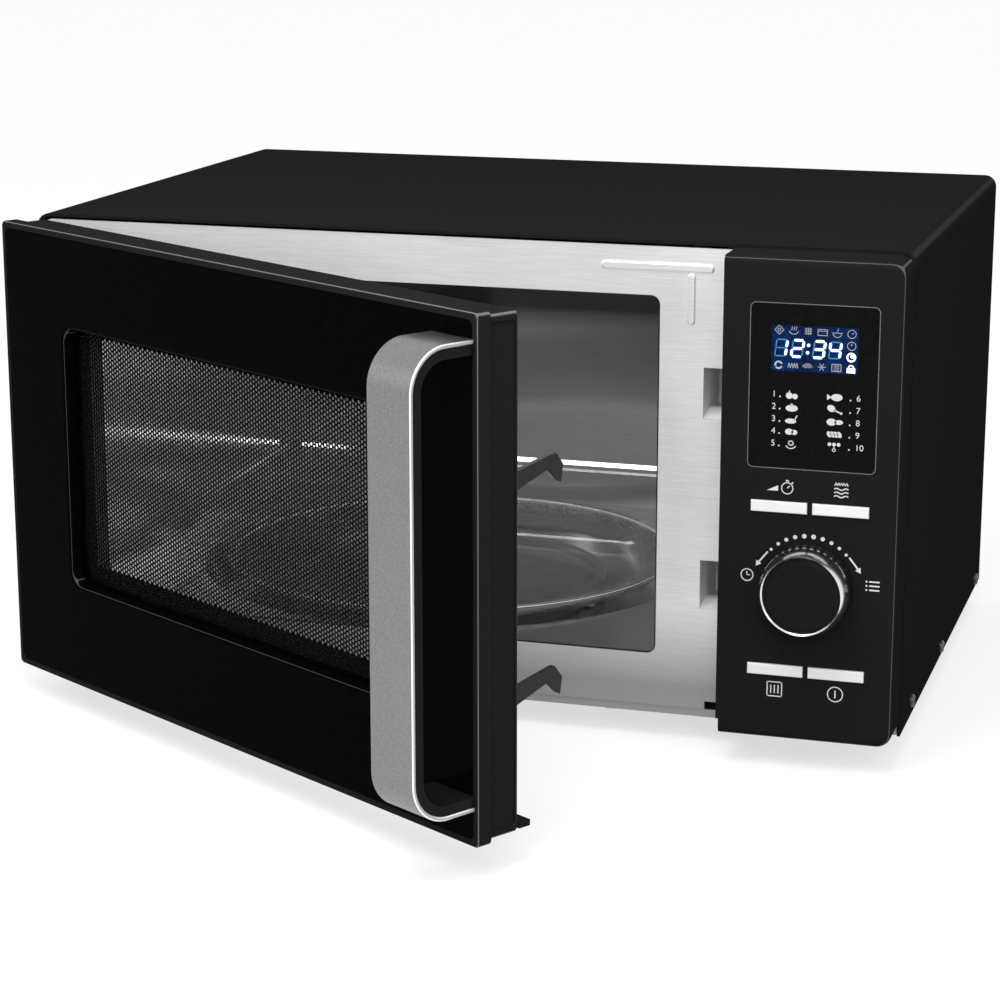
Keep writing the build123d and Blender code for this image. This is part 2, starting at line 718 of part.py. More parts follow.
with BuildPart() as turntable_coupler:
    with BuildSketch(level(motor_top + slip)):
        with Locations((x_turn, y_turn)):
            Circle(hub_r)
    extrude(amount=wing_z1 - motor_top - slip)
    with BuildSketch(level(wing_z0)):
        with Locations((x_turn, y_turn)):
            with PolarLocations(wing_r / 2, roller_count):
                RectangleRounded(wing_r, wing_w, edge_round)
    extrude(amount=wing_h)
    with BuildSketch(level(motor_top + slip)):
        with Locations((x_turn, y_turn)):
            Circle(drive_r + run_fit)
            with Locations((0, drive_r + hub_r / 2)):
                Rectangle(2 * drive_r, hub_r + drive_r / 2, mode=Mode.SUBTRACT)
    extrude(amount=wing_z0 - motor_top, mode=Mode.SUBTRACT)
pieces["turntable_coupler"] = turntable_coupler

with BuildPart() as turntable_shaft:
    with BuildSketch(level(motor_z0 + motor_h / 2)):
        with Locations((x_turn, y_turn)):
            Circle(drive_r)
            with Locations((0, drive_r + hub_r / 2)):
                Rectangle(2 * drive_r, hub_r + drive_r / 2 + 2 * run_fit, mode=Mode.SUBTRACT)
    extrude(amount=wing_z0 - motor_z0 - motor_h / 2)
pieces["turntable_shaft"] = turntable_shaft

with BuildPart() as turntable_motor:
    with BuildSketch(level(motor_top - sheet)):
        with Locations((x_turn, y_turn)):
            Circle(motor_r)
            SlotOverall(motor_ear[1], motor_ear[0])
    extrude(amount=sheet)
    with BuildSketch(level(motor_z0)):
        with Locations((x_turn, y_turn)):
            Circle(motor_r)
    extrude(amount=motor_h)
    fillet(turntable_motor.faces().sort_by(Axis.Z)[0].edges(), edge_round)
    with BuildSketch(level(motor_z0 + motor_h / 2 - slip)):
        with Locations((x_turn, y_turn)):
            Circle(drive_r + run_fit)
    extrude(amount=motor_h, mode=Mode.SUBTRACT)
pieces["turntable_motor"] = turntable_motor

roller_turns = [roller_start + n * 360 / roller_count for n in range(roller_count)]


def roller_plane(turn, reach):
    """Plane square to a roller's axle at a distance from the turntable's axis."""
    spoke = Vector(cos(radians(turn)), sin(radians(turn)), 0)
    return Plane(origin=Vector(x_turn, y_turn, roller_z) + spoke * reach, z_dir=spoke)


with BuildPart() as roller_ring:
    with BuildSketch(turn_plane):
        with Locations((ring_r - ring_w / 2, roller_z)):
            RectangleRounded(ring_w, ring_h, edge_round)
    revolve(axis=turn_axis)
    for turn in roller_turns:
        with BuildSketch(roller_plane(turn, ring_r - ring_w / 2)):
            Circle(axle_r)
        extrude(amount=ring_w / 2 + roller_w + 2 * slip)
        with BuildSketch(roller_plane(turn, ring_r + roller_w + 2 * slip)):
            Circle(axle_r + axle_head / 2)
        extrude(amount=axle_head)
pieces["roller_ring"] = roller_ring

for number, turn in enumerate(roller_turns, start=1):
    with BuildPart() as roller:
        with BuildSketch(roller_plane(turn, ring_r + slip)):
            Circle(roller_r)
            Circle(axle_r + run_fit, mode=Mode.SUBTRACT)
        extrude(amount=roller_w)
        rims = roller.edges().filter_by(GeomType.CIRCLE).sort_by(SortBy.RADIUS)[-2:]
        fillet(rims, edge_round)
    pieces[f"roller_{number}"] = roller

# Control panel

window_mid = (controls_mid, front_z0 + window_low + window_h / 2)
fascia_mid = ((fascia_x0 + fascia_x1) / 2, (front_z0 + front_z1) / 2)
fascia_h = front_z1 - front_z0
fascia_in = fascia_y + fascia_wall
pcb_mid = (fascia_mid[0], front_z0 + pcb_low + pcb[1] / 2)
pcb_y = y_front - pcb_back
knob_spot = (controls_mid, front_z0 + knob_z)
button_rows = {"upper": front_z0 + button_high, "lower": front_z0 + button_deep}
button_columns = {"left": controls_mid - button_pitch / 2, "right": controls_mid + button_pitch / 2}
button_spots = {
    f"button_{row}_{column}": (x, z)
    for row, z in button_rows.items()
    for column, x in button_columns.items()
}
post_x = pcb[0] / 2 - boss_post
post_z = pcb[1] / 2 - boss_post

with BuildPart() as control_fascia:
    with BuildSketch(facing(y_front)) as outline:
        with Locations(fascia_mid):
            Rectangle(fascia_w, fascia_h)
        fillet(outline.vertices().group_by(Axis.X)[-1], fascia_corner)
    extrude(amount=front_d)
    front_edges = control_fascia.faces().sort_by(Axis.Y)[0].edges()
    fillet(front_edges.sort_by(Axis.X)[1:], fascia_round)
    with BuildSketch(facing(y_front)) as inside:
        with Locations(fascia_mid):
            Rectangle(fascia_w - 2 * fascia_wall, fascia_h - 2 * fascia_wall)
        fillet(inside.vertices().group_by(Axis.X)[-1], fascia_corner - fascia_wall)
    extrude(amount=front_d - fascia_wall, mode=Mode.SUBTRACT)
    with BuildSketch(facing(fascia_in)):
        with Locations(pcb_mid):
            with GridLocations(2 * post_x, 2 * post_z, 2, 2):
                Circle(boss_post)
    extrude(amount=fascia_in - pcb_y)
    with BuildSketch(facing(fascia_y)):
        with Locations(window_mid):
            RectangleRounded(window_w, window_h, window_corner)
    extrude(amount=-window_t - window_sunk, mode=Mode.SUBTRACT)
    with BuildSketch(facing(fascia_in)):
        with Locations(window_mid):
            Rectangle(window_w - 2 * window_ledge, window_h - 2 * window_ledge)
        with Locations(*button_spots.values()):
            Rectangle(button_w + 2 * button_play, button_h + 2 * button_play)
        with Locations(knob_spot):
            Circle(shaft_collar + slip)
    extrude(amount=fascia_wall, mode=Mode.SUBTRACT)
    with BuildSketch(facing(y_front)):
        with Locations((fascia_x0, front_z0)):
            Rectangle(2 * notch[0], 2 * notch[1])
    extrude(amount=front_d, mode=Mode.SUBTRACT)
pieces["control_fascia"] = control_fascia

window_y = fascia_y + window_sunk + window_t
lcd_mid = (window_mid[0], window_mid[1] + window_h / 2 - lcd_top - lcd[1] / 2)
lcd_y = window_y + slip + lcd[2]

with BuildPart() as display_window:
    with BuildSketch(facing(window_y)):
        with Locations(window_mid):
            RectangleRounded(window_w - 2 * slip, window_h - 2 * slip, window_corner - slip)
    extrude(amount=window_t)
pieces["display_window"] = display_window

with BuildPart() as display_module:
    with BuildSketch(facing(lcd_y)):
        with Locations(lcd_mid):
            Rectangle(lcd[0], lcd[1])
    extrude(amount=lcd[2])
    with BuildSketch(facing(pcb_y)):
        with Locations(lcd_mid):
            with GridLocations(lcd[0] - 2 * window_ledge, lcd[1] - 2 * window_ledge, 2, 2):
                Rectangle(window_ledge, window_ledge)
    extrude(amount=pcb_y - lcd_y)
pieces["display_module"] = display_module

with BuildPart() as control_board:
    with BuildSketch(facing(pcb_y + pcb[2])):
        with Locations(pcb_mid):
            Rectangle(pcb[0], pcb[1])
    extrude(amount=pcb[2])
pieces["control_board"] = control_board

with BuildPart() as key_switches:
    with BuildSketch(facing(pcb_y)):
        with Locations(*button_spots.values()):
            Rectangle(tact[0], tact[0])
    extrude(amount=tact[1])
    with BuildSketch(facing(pcb_y - tact[1])):
        with Locations(*button_spots.values()):
            Circle(tact[0] / 4)
    extrude(amount=tact[1] / 4)
pieces["key_switches"] = key_switches

stem_y = pcb_y - tact[1] * 5 / 4 - button_travel - slip

for name, spot in button_spots.items():
    with BuildPart() as button:
        with BuildSketch(facing(fascia_in + button_travel + slip)):
            with Locations(spot):
                Rectangle(button_w, button_h)
        extrude(amount=fascia_wall + button_proud + button_travel + slip)
        fillet(button.faces().sort_by(Axis.Y)[0].edges(), edge_round / 2)
        with BuildSketch(facing(fascia_in + slip + button_flange)):
            with Locations(spot):
                Rectangle(button_w + 6 * button_play, button_h + 6 * button_play)
        extrude(amount=button_flange)
        with BuildSketch(facing(stem_y)):
            with Locations(spot):
                Circle(button_boss)
        extrude(amount=stem_y - fascia_in - slip)
    pieces[name] = button

knob_axis = Axis((knob_spot[0], 0, knob_spot[1]), (0, 1, 0))
knob_plane = Plane(origin=(knob_spot[0], 0, knob_spot[1]), x_dir=(1, 0, 0), z_dir=(0, 0, 1))
knob_y0 = fascia_y - knob_gap
skirt_y = knob_y0 - knob_skirt_d
knob_y1 = skirt_y - knob_ring_d
cap_y = knob_y1 + knob_cap_sunk
ring_seat = knob_cap_r + slip / 3

with BuildPart() as encoder_body:
    with BuildSketch(facing(pcb_y)):
        with Locations(knob_spot):
            Rectangle(encoder[0], encoder[0])
    extrude(amount=encoder[1])
    with BuildSketch(facing(pcb_y - encoder[1])):
        with Locations(knob_spot):
            Circle(shaft_collar)
    extrude(amount=pcb_y - encoder[1] - fascia_y)
    with BuildSketch(facing(pcb_y - encoder[1] / 2)):
        with Locations(knob_spot):
            Circle(shaft_r + run_fit)
    extrude(amount=pcb_y - fascia_y, mode=Mode.SUBTRACT)
pieces["encoder_body"] = encoder_body

shaft_end = cap_y + knob_wall

with BuildPart() as encoder_shaft:
    with BuildSketch(facing(pcb_y - encoder[1] / 2 - slip)):
        with Locations(knob_spot):
            Circle(shaft_r)
    extrude(amount=pcb_y - encoder[1] / 2 - slip - shaft_end)
pieces["encoder_shaft"] = encoder_shaft

with BuildPart() as knob_cap:
    with BuildSketch(knob_plane):
        with BuildLine():
            Polyline(
                (0, cap_y + knob_cap_sunk / 2),
                (knob_cap_r - knob_wall, cap_y),
                (knob_cap_r, cap_y + knob_cap_sunk),
                (knob_cap_r, skirt_y),
                (knob_ring_r, skirt_y),
                (knob_skirt_r, knob_y0),
                (knob_skirt_r - knob_wall, knob_y0),
                (knob_cap_r - knob_wall, skirt_y),
                (knob_cap_r - knob_wall, shaft_end),
                (shaft_r + knob_wall, shaft_end),
                (shaft_r + knob_wall, knob_y0),
                (shaft_r, knob_y0),
                (shaft_r, shaft_end),
                (0, shaft_end),
                close=True,
            )
        make_face()
    revolve(axis=knob_axis)
pieces["knob_cap"] = knob_cap

with BuildPart() as knob_ring:
    with BuildSketch(knob_plane):
        with BuildLine():
            seat = (ring_seat, skirt_y)
            shoulder = (knob_ring_r, skirt_y)
            lip = (ring_seat + knob_lip, knob_y1)
            Line(seat, shoulder)
            TangentArc(shoulder, lip, tangent=(0, -1))
            Polyline(lip, (ring_seat, knob_y1 + knob_cap_sunk), seat)
        make_face()
    revolve(axis=knob_axis)
pieces["knob_ring"] = knob_ring

# Door

back_axis = Axis((0, 0, 0), (outward.X, outward.Y, outward.Z))
along_axis = Axis((0, 0, 0), (along.X, along.Y, along.Z))
rear_s0 = door_s0 + screen_margin
rear_s1 = door_s1 - latch_channel
rear_z0 = front_z0 + screen_margin
rear_z1 = front_z1 - screen_margin
rear_mid = ((rear_s0 + rear_s1) / 2, (rear_z0 + rear_z1) / 2)
rear_w = rear_s1 - rear_s0
rear_h = rear_z1 - rear_z0
hook_s1 = door_s1 - hook_edge
hook_s0 = hook_s1 - hook_t
bar_s = (hook_s0 + hook_s1) / 2
bar_mid = hook_s1 - bar_w / 2
hook_root = -out_back
arm_mid = (hook_arm[0] + hook_arm[1] + latch_travel) / 2
arm_slot = hook_arm[1] - hook_arm[0] + latch_travel + 2 * slot_side
bar_out = out_seat + slip + bar_d / 2
bar_z0 = barb_z[0] - bar_over
bar_z1 = barb_z[1] + bar_over
spring_z0 = bar_z1 + slip
shelf_z = spring_z0 + spring_l + slip
boss_z = {
    "lower": (hinge_lower + hinge_t + slip, hinge_lower + hinge_t + pin_l + 2 * slip),
    "upper": (hinge_upper - pin_l - 2 * slip, hinge_upper - slip),
}
pocket = hinge_half + 2 * hinge_room + slip
strip_w = out_rim - out_back - rear_chamfer - 2 * strip_edge
strip_h = door_h - 2 * edge_step - 2 * strip_end
strip_mid = (-(out_rim + out_back + rear_chamfer) / 2, door_mid[1])

with BuildPart() as door_frame:
    with BuildSketch(door_face(out_back)):
        with Locations(door_mid):
            RectangleRounded(door_w - 2 * edge_step, door_h - 2 * edge_step, door_corner)
    extrude(amount=out_rim - out_back)
    chamfer(door_frame.faces().sort_by(back_axis)[0].edges(), rear_chamfer)
    with BuildSketch(door_face(out_rim)):
        with Locations(door_mid):
            RectangleRounded(door_w, door_h, door_corner)
    extrude(amount=rim_d)
    fillet(door_frame.faces().sort_by(back_axis)[-1].edges(), edge_round)
    with BuildSketch(door_face(out_front - panel_t)):
        with Locations(door_mid):
            RectangleRounded(door_w - 2 * rim_w, door_h - 2 * rim_w, door_corner)
    extrude(amount=panel_t, mode=Mode.SUBTRACT)
    with BuildSketch(door_face(out_seat)):
        with Locations(door_mid):
            Rectangle(door_w - 2 * (rim_w + panel_ledge), door_h - 2 * (rim_w + panel_ledge))
    extrude(amount=out_front - out_seat, mode=Mode.SUBTRACT)
    with BuildSketch(door_face(out_back)):
        with Locations(rear_mid):
            Rectangle(rear_w, rear_h)
        with Locations(*[(bar_s, z + arm_mid) for z in barb_z]):
            Rectangle(hook_t + 2 * slot_side, arm_slot)
    extrude(amount=frame_back, mode=Mode.SUBTRACT)
    with BuildSketch(door_face(out_seat)):
        with Locations((bar_mid, shelf_z + shelf_t / 2)):
            Rectangle(bar_w + 2 * spring_r, shelf_t)
    extrude(amount=bar_d)
    for low, high in boss_z.values():
        with BuildSketch(door_level(low)):
            Circle(boss_r)
            with Locations((-boss_r / 2, 0)):
                Rectangle(boss_r, 2 * boss_r)
        extrude(amount=high - low)
        with BuildSketch(door_level(low)):
            Circle(pin_r + run_fit)
        extrude(amount=high - low, mode=Mode.SUBTRACT)
    for z in hinge_plates:
        with BuildSketch(door_level(z - slip)):
            with Locations((-pocket, pocket)):
                Rectangle(4 * pocket, 4 * pocket)
        extrude(amount=hinge_t + 2 * slip, mode=Mode.SUBTRACT)
    with BuildSketch(door_face(out_back)):
        with Locations((lug_x - hinge_x, lug_z)):
            Rectangle(lug[0], lug[2])
    extrude(amount=-lug[1])
    with BuildSketch(door_side(door_s1 - edge_step)):
        with Locations(strip_mid):
            RectangleRounded(strip_w, strip_h, strip_corner)
    extrude(amount=-strip_d, mode=Mode.SUBTRACT)
pieces["door_frame"] = door_frame

panel_w = door_w - 2 * rim_w - 2 * slip
panel_h = door_h - 2 * rim_w - 2 * slip

with BuildPart() as door_panel:
    with BuildSketch(door_face(out_front - panel_t)):
        with Locations(door_mid):
            RectangleRounded(panel_w, panel_h, door_corner - slip)
        with Locations(win_mid):
            RectangleRounded(win_w, win_h, win_corner, mode=Mode.SUBTRACT)
    extrude(amount=panel_t)
    with BuildSketch(door_face(out_front - win_d)):
        with Locations(win_mid):
            RectangleRounded(win_w + 2 * collar_t, win_h + 2 * collar_t, win_corner + collar_t)
            RectangleRounded(win_w, win_h, win_corner, mode=Mode.SUBTRACT)
    extrude(amount=win_d - panel_t)
    mouth_edges = door_panel.faces().sort_by(back_axis)[-1].inner_wires()[0].edges()
    fillet(mouth_edges, win_round)
pieces["door_panel"] = door_panel

with BuildPart() as door_window:
    with BuildSketch(door_face(pane_out)):
        with Locations(win_mid):
            RectangleRounded(win_w + 2 * pane_lap, win_h + 2 * pane_lap, win_corner + pane_lap)
    extrude(amount=pane_t)
pieces["door_window"] = door_window

field_w = win_w + 2 * pane_lap - 2 * field_inset
field_h = win_h + 2 * pane_lap - 2 * field_inset
field_rise = field_out - out_seat
field_run = field_rise * sin(radians(screen_taper)) / cos(radians(screen_taper))

with BuildPart() as door_screen:
    with BuildSketch(door_face(out_seat)):
        with Locations(rear_mid):
            Rectangle(rear_w + 2 * screen_lap, rear_h + 2 * screen_lap)
    extrude(amount=sheet)
    with BuildSketch(door_face(out_seat)):
        with Locations(win_mid):
            RectangleRounded(field_w + 2 * field_run, field_h + 2 * field_run, field_corner)
    extrude(amount=field_rise, taper=screen_taper)
    with BuildSketch(door_face(out_seat)):
        with Locations(win_mid):
            RectangleRounded(
                field_w + 2 * field_run - 2 * sheet,
                field_h + 2 * field_run - 2 * sheet,
                field_corner - sheet,
            )
    extrude(amount=field_rise - sheet, taper=screen_taper, mode=Mode.SUBTRACT)
pieces["door_screen"] = door_screen

inner_w = field_w + 2 * field_run + choke_lip
inner_h = field_h + 2 * field_run + choke_lip

with BuildPart() as inner_window:
    with BuildSketch(door_face(out_seat - frame_back / 2)):
        with Locations(win_mid):
            RectangleRounded(inner_w, inner_h, field_corner)
    extrude(amount=frame_back / 2)
pieces["inner_window"] = inner_window

with BuildPart() as choke_cover:
    with BuildSketch(door_face(out_back)):
        with Locations(rear_mid):
            RectangleRounded(rear_w - 2 * slip, rear_h - 2 * slip, door_corner)
        with Locations(win_mid):
            RectangleRounded(inner_w - choke_lip, inner_h - choke_lip, field_corner, mode=Mode.SUBTRACT)
    extrude(amount=frame_back)
    chamfer(choke_cover.faces().sort_by(back_axis)[0].edges(), edge_round / 2)
    with BuildSketch(door_face(out_seat - frame_back / 2)):
        with Locations(win_mid):
            RectangleRounded(inner_w + 2 * slip, inner_h + 2 * slip, field_corner + slip)
    extrude(amount=frame_back / 2, mode=Mode.SUBTRACT)
pieces["choke_cover"] = choke_cover

# Handle

handle_s1 = door_s1 - handle_edge
handle_s0 = handle_s1 - handle_w
handle_h = door_h - handle_low - handle_top
handle_mid = (-out_front, front_z0 + handle_low + handle_h / 2)


def arch(inset, thickness):
    """Section of an arch on the door's face, inside the handle's outline."""
    reach = handle_out - inset
    height = handle_h - 2 * inset
    bend = handle_r - inset
    with Locations(handle_mid):
        RectangleRounded(2 * reach, height, bend)
        RectangleRounded(
            2 * reach - 2 * thickness,
            height - 2 * thickness,
            bend - thickness,
            mode=Mode.SUBTRACT,
        )
        with Locations((reach, 0)):
            Rectangle(2 * reach, 2 * height, mode=Mode.SUBTRACT)


with BuildPart() as handle_band:
    with BuildSketch(door_side(handle_s0)):
        arch(0, band_t)
    extrude(amount=handle_w)
    sides = handle_band.faces().sort_by(along_axis)
    chamfer(sides[0].edges() + sides[-1].edges(), band_edge)
pieces["handle_band"] = handle_band

with BuildPart() as handle_liner:
    with BuildSketch(door_side(handle_s0 + liner_side)):
        arch(band_t, liner_t)
    extrude(amount=handle_w - 2 * liner_side)
pieces["handle_liner"] = handle_liner

# Latch


def hook_points(z):
    """Outline of a latch hook whose barb points down to z, seen from the door's opening edge."""
    tail = hook_root - frame_back - bar_d / 2
    head = [(hook_root + back, z + up) for back, up in hook_outline]
    low = z + hook_arm[0]
    high = z + hook_arm[1]
    return [(tail, low), (hook_root, low), *head, (hook_root, high), (tail, high)]


with BuildPart() as latch_bar:
    with BuildSketch(door_level(bar_z0)):
        with Locations((bar_mid, -bar_out)):
            Rectangle(bar_w, bar_d)
    extrude(amount=bar_z1 - bar_z0)
    for z in barb_z:
        with BuildSketch(door_side(hook_s0)):
            with BuildLine():
                Polyline(*hook_points(z), close=True)
            make_face()
        extrude(amount=hook_t)
pieces["latch_bar"] = latch_bar

with BuildPart() as latch_spring:
    with BuildLine(door_level(spring_z0 + spring_wire / 2)):
        coil = Helix(
            pitch=(spring_l - spring_wire) / spring_turns,
            height=spring_l - spring_wire,
            radius=spring_r,
            center=(bar_mid, -bar_out, 0),
        )
    with BuildSketch(Plane(origin=coil @ 0, z_dir=coil % 0)):
        Circle(spring_wire / 2)
    sweep(is_frenet=True)
pieces["latch_spring"] = latch_spring

board_z0 = slot_z0[0] - board_over
board_z1 = slot_z0[1] + catch_slot_h + board_over
board_x0 = slot_x0 - board_wall
board_x1 = slot_x0 + catch_slot_w + board_wall
board_y1 = y_plate_back + board_d
board_gap = hook_pitch - catch_slot_h - 4 * board_wall

with BuildPart() as latch_board:
    with BuildSketch(level(board_z0)):
        with Locations(((board_x0 + board_x1) / 2, (y_plate_back + board_y1) / 2)):
            Rectangle(board_x1 - board_x0, board_d)
    extrude(amount=board_z1 - board_z0)
    with BuildSketch(facing(board_y1 - board_wall)):
        with Locations(*[(slot_mid, z + catch_slot_h / 2) for z in slot_z0]):
            Rectangle(catch_slot_w, catch_slot_h)
    extrude(amount=board_d, mode=Mode.SUBTRACT)
    for z, barb in zip(slot_z0, barb_z):
        sill = barb - catch_gap
        ramp_y = y_plate_back + ramp_d
        with BuildSketch(sideways(slot_x0)):
            Polygon(
                (y_plate_back, z),
                (ramp_y, sill),
                (ramp_y + sill_d, sill),
                (ramp_y + sill_d, z),
                align=None,
            )
        extrude(amount=catch_slot_w)
    with BuildSketch(sideways(board_x0)):
        with Locations(((y_plate_back + board_y1 - board_wall) / 2, (board_z0 + board_z1) / 2)):
            Rectangle(board_d - board_wall, board_gap)
    extrude(amount=board_wall + catch_slot_w, mode=Mode.SUBTRACT)
pieces["latch_board"] = latch_board

switch_z = [slot_z0[0] + catch_slot_h / 2, slot_z0[1] + catch_slot_h / 2, (board_z0 + board_z1) / 2]

with BuildPart() as door_switches:
    with BuildSketch(sideways(board_x1)):
        with Locations(*[(board_y1 - switch_size[1] / 2, z) for z in switch_z[:switch_count]]):
            Rectangle(switch_size[1], switch_size[2])
    extrude(amount=switch_size[0])
    with BuildSketch(facing(board_y1 + tag[2])):
        with Locations(*[(board_x1 + switch_size[0] / 2, z) for z in switch_z[:switch_count]]):
            with GridLocations(0, switch_size[2] / 2, 1, 2):
                Rectangle(tag[1], tag[0])
    extrude(amount=tag[2])
pieces["door_switches"] = door_switches

# Hinges

for name, plate_z in zip(("lower_hinge", "upper_hinge"), hinge_plates):
    rises = name == "lower_hinge"
    pin_z = plate_z + hinge_t if rises else plate_z - pin_l
    leg_z = plate_z if rises else plate_z + hinge_t - hinge_leg
    with BuildPart() as hinge:
        with BuildSketch(level(plate_z)):
            with Locations((hinge_x, hinge_y)):
                Circle(hinge_half)
            with Locations((hinge_x, (hinge_y + y_plate_back + hinge_t) / 2)):
                Rectangle(2 * hinge_half, y_plate_back + hinge_t - hinge_y)
        extrude(amount=hinge_t)
        with BuildSketch(level(leg_z)):
            with Locations((hinge_x, y_plate_back + hinge_t / 2)):
                Rectangle(2 * hinge_half, hinge_t)
        extrude(amount=hinge_leg)
        with BuildSketch(level(pin_z)):
            with Locations((hinge_x, hinge_y)):
                Circle(pin_r)
        extrude(amount=pin_l)
    pieces[name] = hinge

# Power parts in the compartment beside the cavity

guide_x = cav_x1 + sheet
guide_x1 = guide_x + guide[0]

with BuildPart() as waveguide:
    with BuildSketch(sideways(guide_x)):
        with Locations(guide_mid):
            Rectangle(guide[1] + 2 * guide_lip, guide[2] + 2 * guide_lip)
    extrude(amount=sheet)
    with BuildSketch(sideways(guide_x)):
        with Locations(guide_mid):
            Rectangle(guide[1], guide[2])
    extrude(amount=guide[0])
    with BuildSketch(sideways(guide_x)):
        with Locations(guide_mid):
            Rectangle(guide[1] - 2 * sheet, guide[2] - 2 * sheet)
    extrude(amount=guide[0] - sheet, mode=Mode.SUBTRACT)
    with BuildSketch(sideways(guide_x1)):
        with Locations(guide_mid):
            Circle(antenna_r + slip)
    extrude(amount=-sheet, mode=Mode.SUBTRACT)
pieces["waveguide"] = waveguide

with BuildPart() as mica_cover:
    with BuildSketch(sideways(cav_x1 - mica_t)):
        with Locations(guide_mid):
            RectangleRounded(mouth[0] + 2 * mica_lap, mouth[1] + 2 * mica_lap, cav_corner)
    extrude(amount=mica_t)
pieces["mica_cover"] = mica_cover

magnet_x = guide_x1 + yoke_t
anode_x = magnet_x + magnet_l
fin_pitch = anode_l / (fin_count + 1)
yoke_l = 2 * magnet_l + anode_l

with BuildPart() as magnetron:
    with BuildSketch(sideways(guide_x1 - antenna_l)):
        with Locations(guide_mid):
            Circle(antenna_r)
    extrude(amount=antenna_l)
    for x in (guide_x1, magnet_x + yoke_l):
        with BuildSketch(sideways(x)):
            with Locations(guide_mid):
                Rectangle(fin[0], fin[1] + 2 * yoke_t)
        extrude(amount=yoke_t)
    with BuildSketch(sideways(magnet_x)):
        with Locations(guide_mid):
            with GridLocations(0, fin[1] + yoke_t, 1, 2):
                Rectangle(fin[0], yoke_t)
    extrude(amount=yoke_l)
    with BuildSketch(sideways(magnet_x)):
        with Locations(guide_mid):
            Circle(magnet_r)
    extrude(amount=magnet_l)
    with BuildSketch(sideways(anode_x + anode_l)):
        with Locations(guide_mid):
            Circle(magnet_r)
    extrude(amount=magnet_l)
    with BuildSketch(sideways(anode_x)):
        with Locations(guide_mid):
            Circle(anode_r)
    extrude(amount=anode_l)
    for n in range(fin_count):
        with BuildSketch(sideways(anode_x + (n + 1) * fin_pitch - fin[2] / 2)):
            with Locations(guide_mid):
                Rectangle(fin[0], fin[1])
        extrude(amount=fin[2])
    with BuildSketch(sideways(magnet_x + yoke_l + yoke_t)):
        with Locations(guide_mid):
            RectangleRounded(filter_box[1], filter_box[2], edge_round)
    extrude(amount=filter_box[0])
pieces["magnetron"] = magnetron

core_mid = (compartment_mid, core_y)
core_z = z_base + sheet

with BuildPart() as transformer:
    with BuildSketch(facing(core_y + core[1] / 2)):
        with Locations((compartment_mid, core_z + core[2] / 2)):
            Rectangle(core[0], core[2])
            with GridLocations(core[0] / 2, 0, 2, 1):
                Rectangle(*core_window, mode=Mode.SUBTRACT)
    extrude(amount=core[1])
    with BuildSketch(level(core_z + core[2] / 2 - core_window[1] / 2)):
        with Locations(core_mid):
            RectangleRounded(core[0] / 2 + core_window[0], core[1] + 2 * coil_out, coil_out)
    extrude(amount=core_window[1])
    with BuildSketch(level(core_z)):
        with Locations(core_mid):
            Rectangle(core[0] + 2 * core_foot[0], core[1])
    extrude(amount=core_foot[1])
pieces["transformer"] = transformer

can_z = core_z + can[1] / 2

with BuildPart() as capacitor:
    with BuildSketch(facing(can_y + can[2])):
        with Locations((compartment_mid, can_z)):
            SlotOverall(can[0], can[1])
    extrude(amount=can[2])
    fillet(capacitor.faces().sort_by(Axis.Y)[0].edges(), edge_round)
    with BuildSketch(facing(can_y)):
        with Locations((compartment_mid, can_z)):
            with GridLocations(can[0] / 3, 0, 2, 1):
                Rectangle(tag[0], tag[1])
    extrude(amount=tag[2])
pieces["capacitor"] = capacitor

diode_y = can_y + can[2] / 2
diode_z = core_z + can[1]

with BuildPart() as diode:
    with BuildSketch(facing(diode_y + diode_l / 2)):
        with Locations((compartment_mid, diode_z + diode_r)):
            Circle(diode_r)
    extrude(amount=diode_l)
    with BuildSketch(facing(diode_y + diode_l / 2)):
        with Locations((compartment_mid, diode_z + diode_r / 2)):
            Rectangle(tag[0], diode_r)
    extrude(amount=tag[1])
pieces["diode"] = diode

shroud_y = y_back - fan_back
ring_y = shroud_y - fan_d - 2 * fan_gap
wheel_y1 = shroud_y - fan_gap
wheel_y0 = wheel_y1 - fan_d
stack_y1 = ring_y - fan_ring_t
shaft_y0 = stack_y1 - stack[2] / 2

with BuildPart() as fan_shroud:
    with BuildSketch(facing(shroud_y)):
        with Locations(fan_spot):
            Rectangle(fan_plate, fan_plate)
            Circle(fan_r + fan_gap, mode=Mode.SUBTRACT)
    extrude(amount=fan_ring_t)
    with BuildSketch(facing(shroud_y)):
        with Locations(fan_spot):
            Circle(fan_r + fan_gap + fan_ring_t)
            Circle(fan_r + fan_gap, mode=Mode.SUBTRACT)
    extrude(amount=shroud_y - ring_y)
    with BuildSketch(facing(ring_y)):
        with Locations(fan_spot):
            Rectangle(2 * (fan_r + fan_gap), fan_bar)
            Circle(fan_shaft_r + fan_gap, mode=Mode.SUBTRACT)
        with Locations(fan_spot):
            Circle(fan_r + fan_gap + fan_ring_t, mode=Mode.INTERSECT)
    extrude(amount=fan_ring_t)
pieces["fan_shroud"] = fan_shroud

with BuildPart() as fan_motor:
    with BuildSketch(facing(stack_y1)):
        with Locations(fan_spot):
            Rectangle(stack[0], stack[1])
    extrude(amount=stack[2])
    with BuildSketch(facing(stack_y1 - slip)):
        with Locations((fan_spot[0] + stack[0] / 2 + motor_coil[0] / 2, fan_spot[1])):
            RectangleRounded(motor_coil[0], motor_coil[1], edge_round)
    extrude(amount=motor_coil[2])
    with BuildSketch(facing(stack_y1)):
        with Locations(fan_spot):
            Circle(fan_shaft_r + run_fit)
    extrude(amount=stack[2] / 2 + slip, mode=Mode.SUBTRACT)
pieces["fan_motor"] = fan_motor


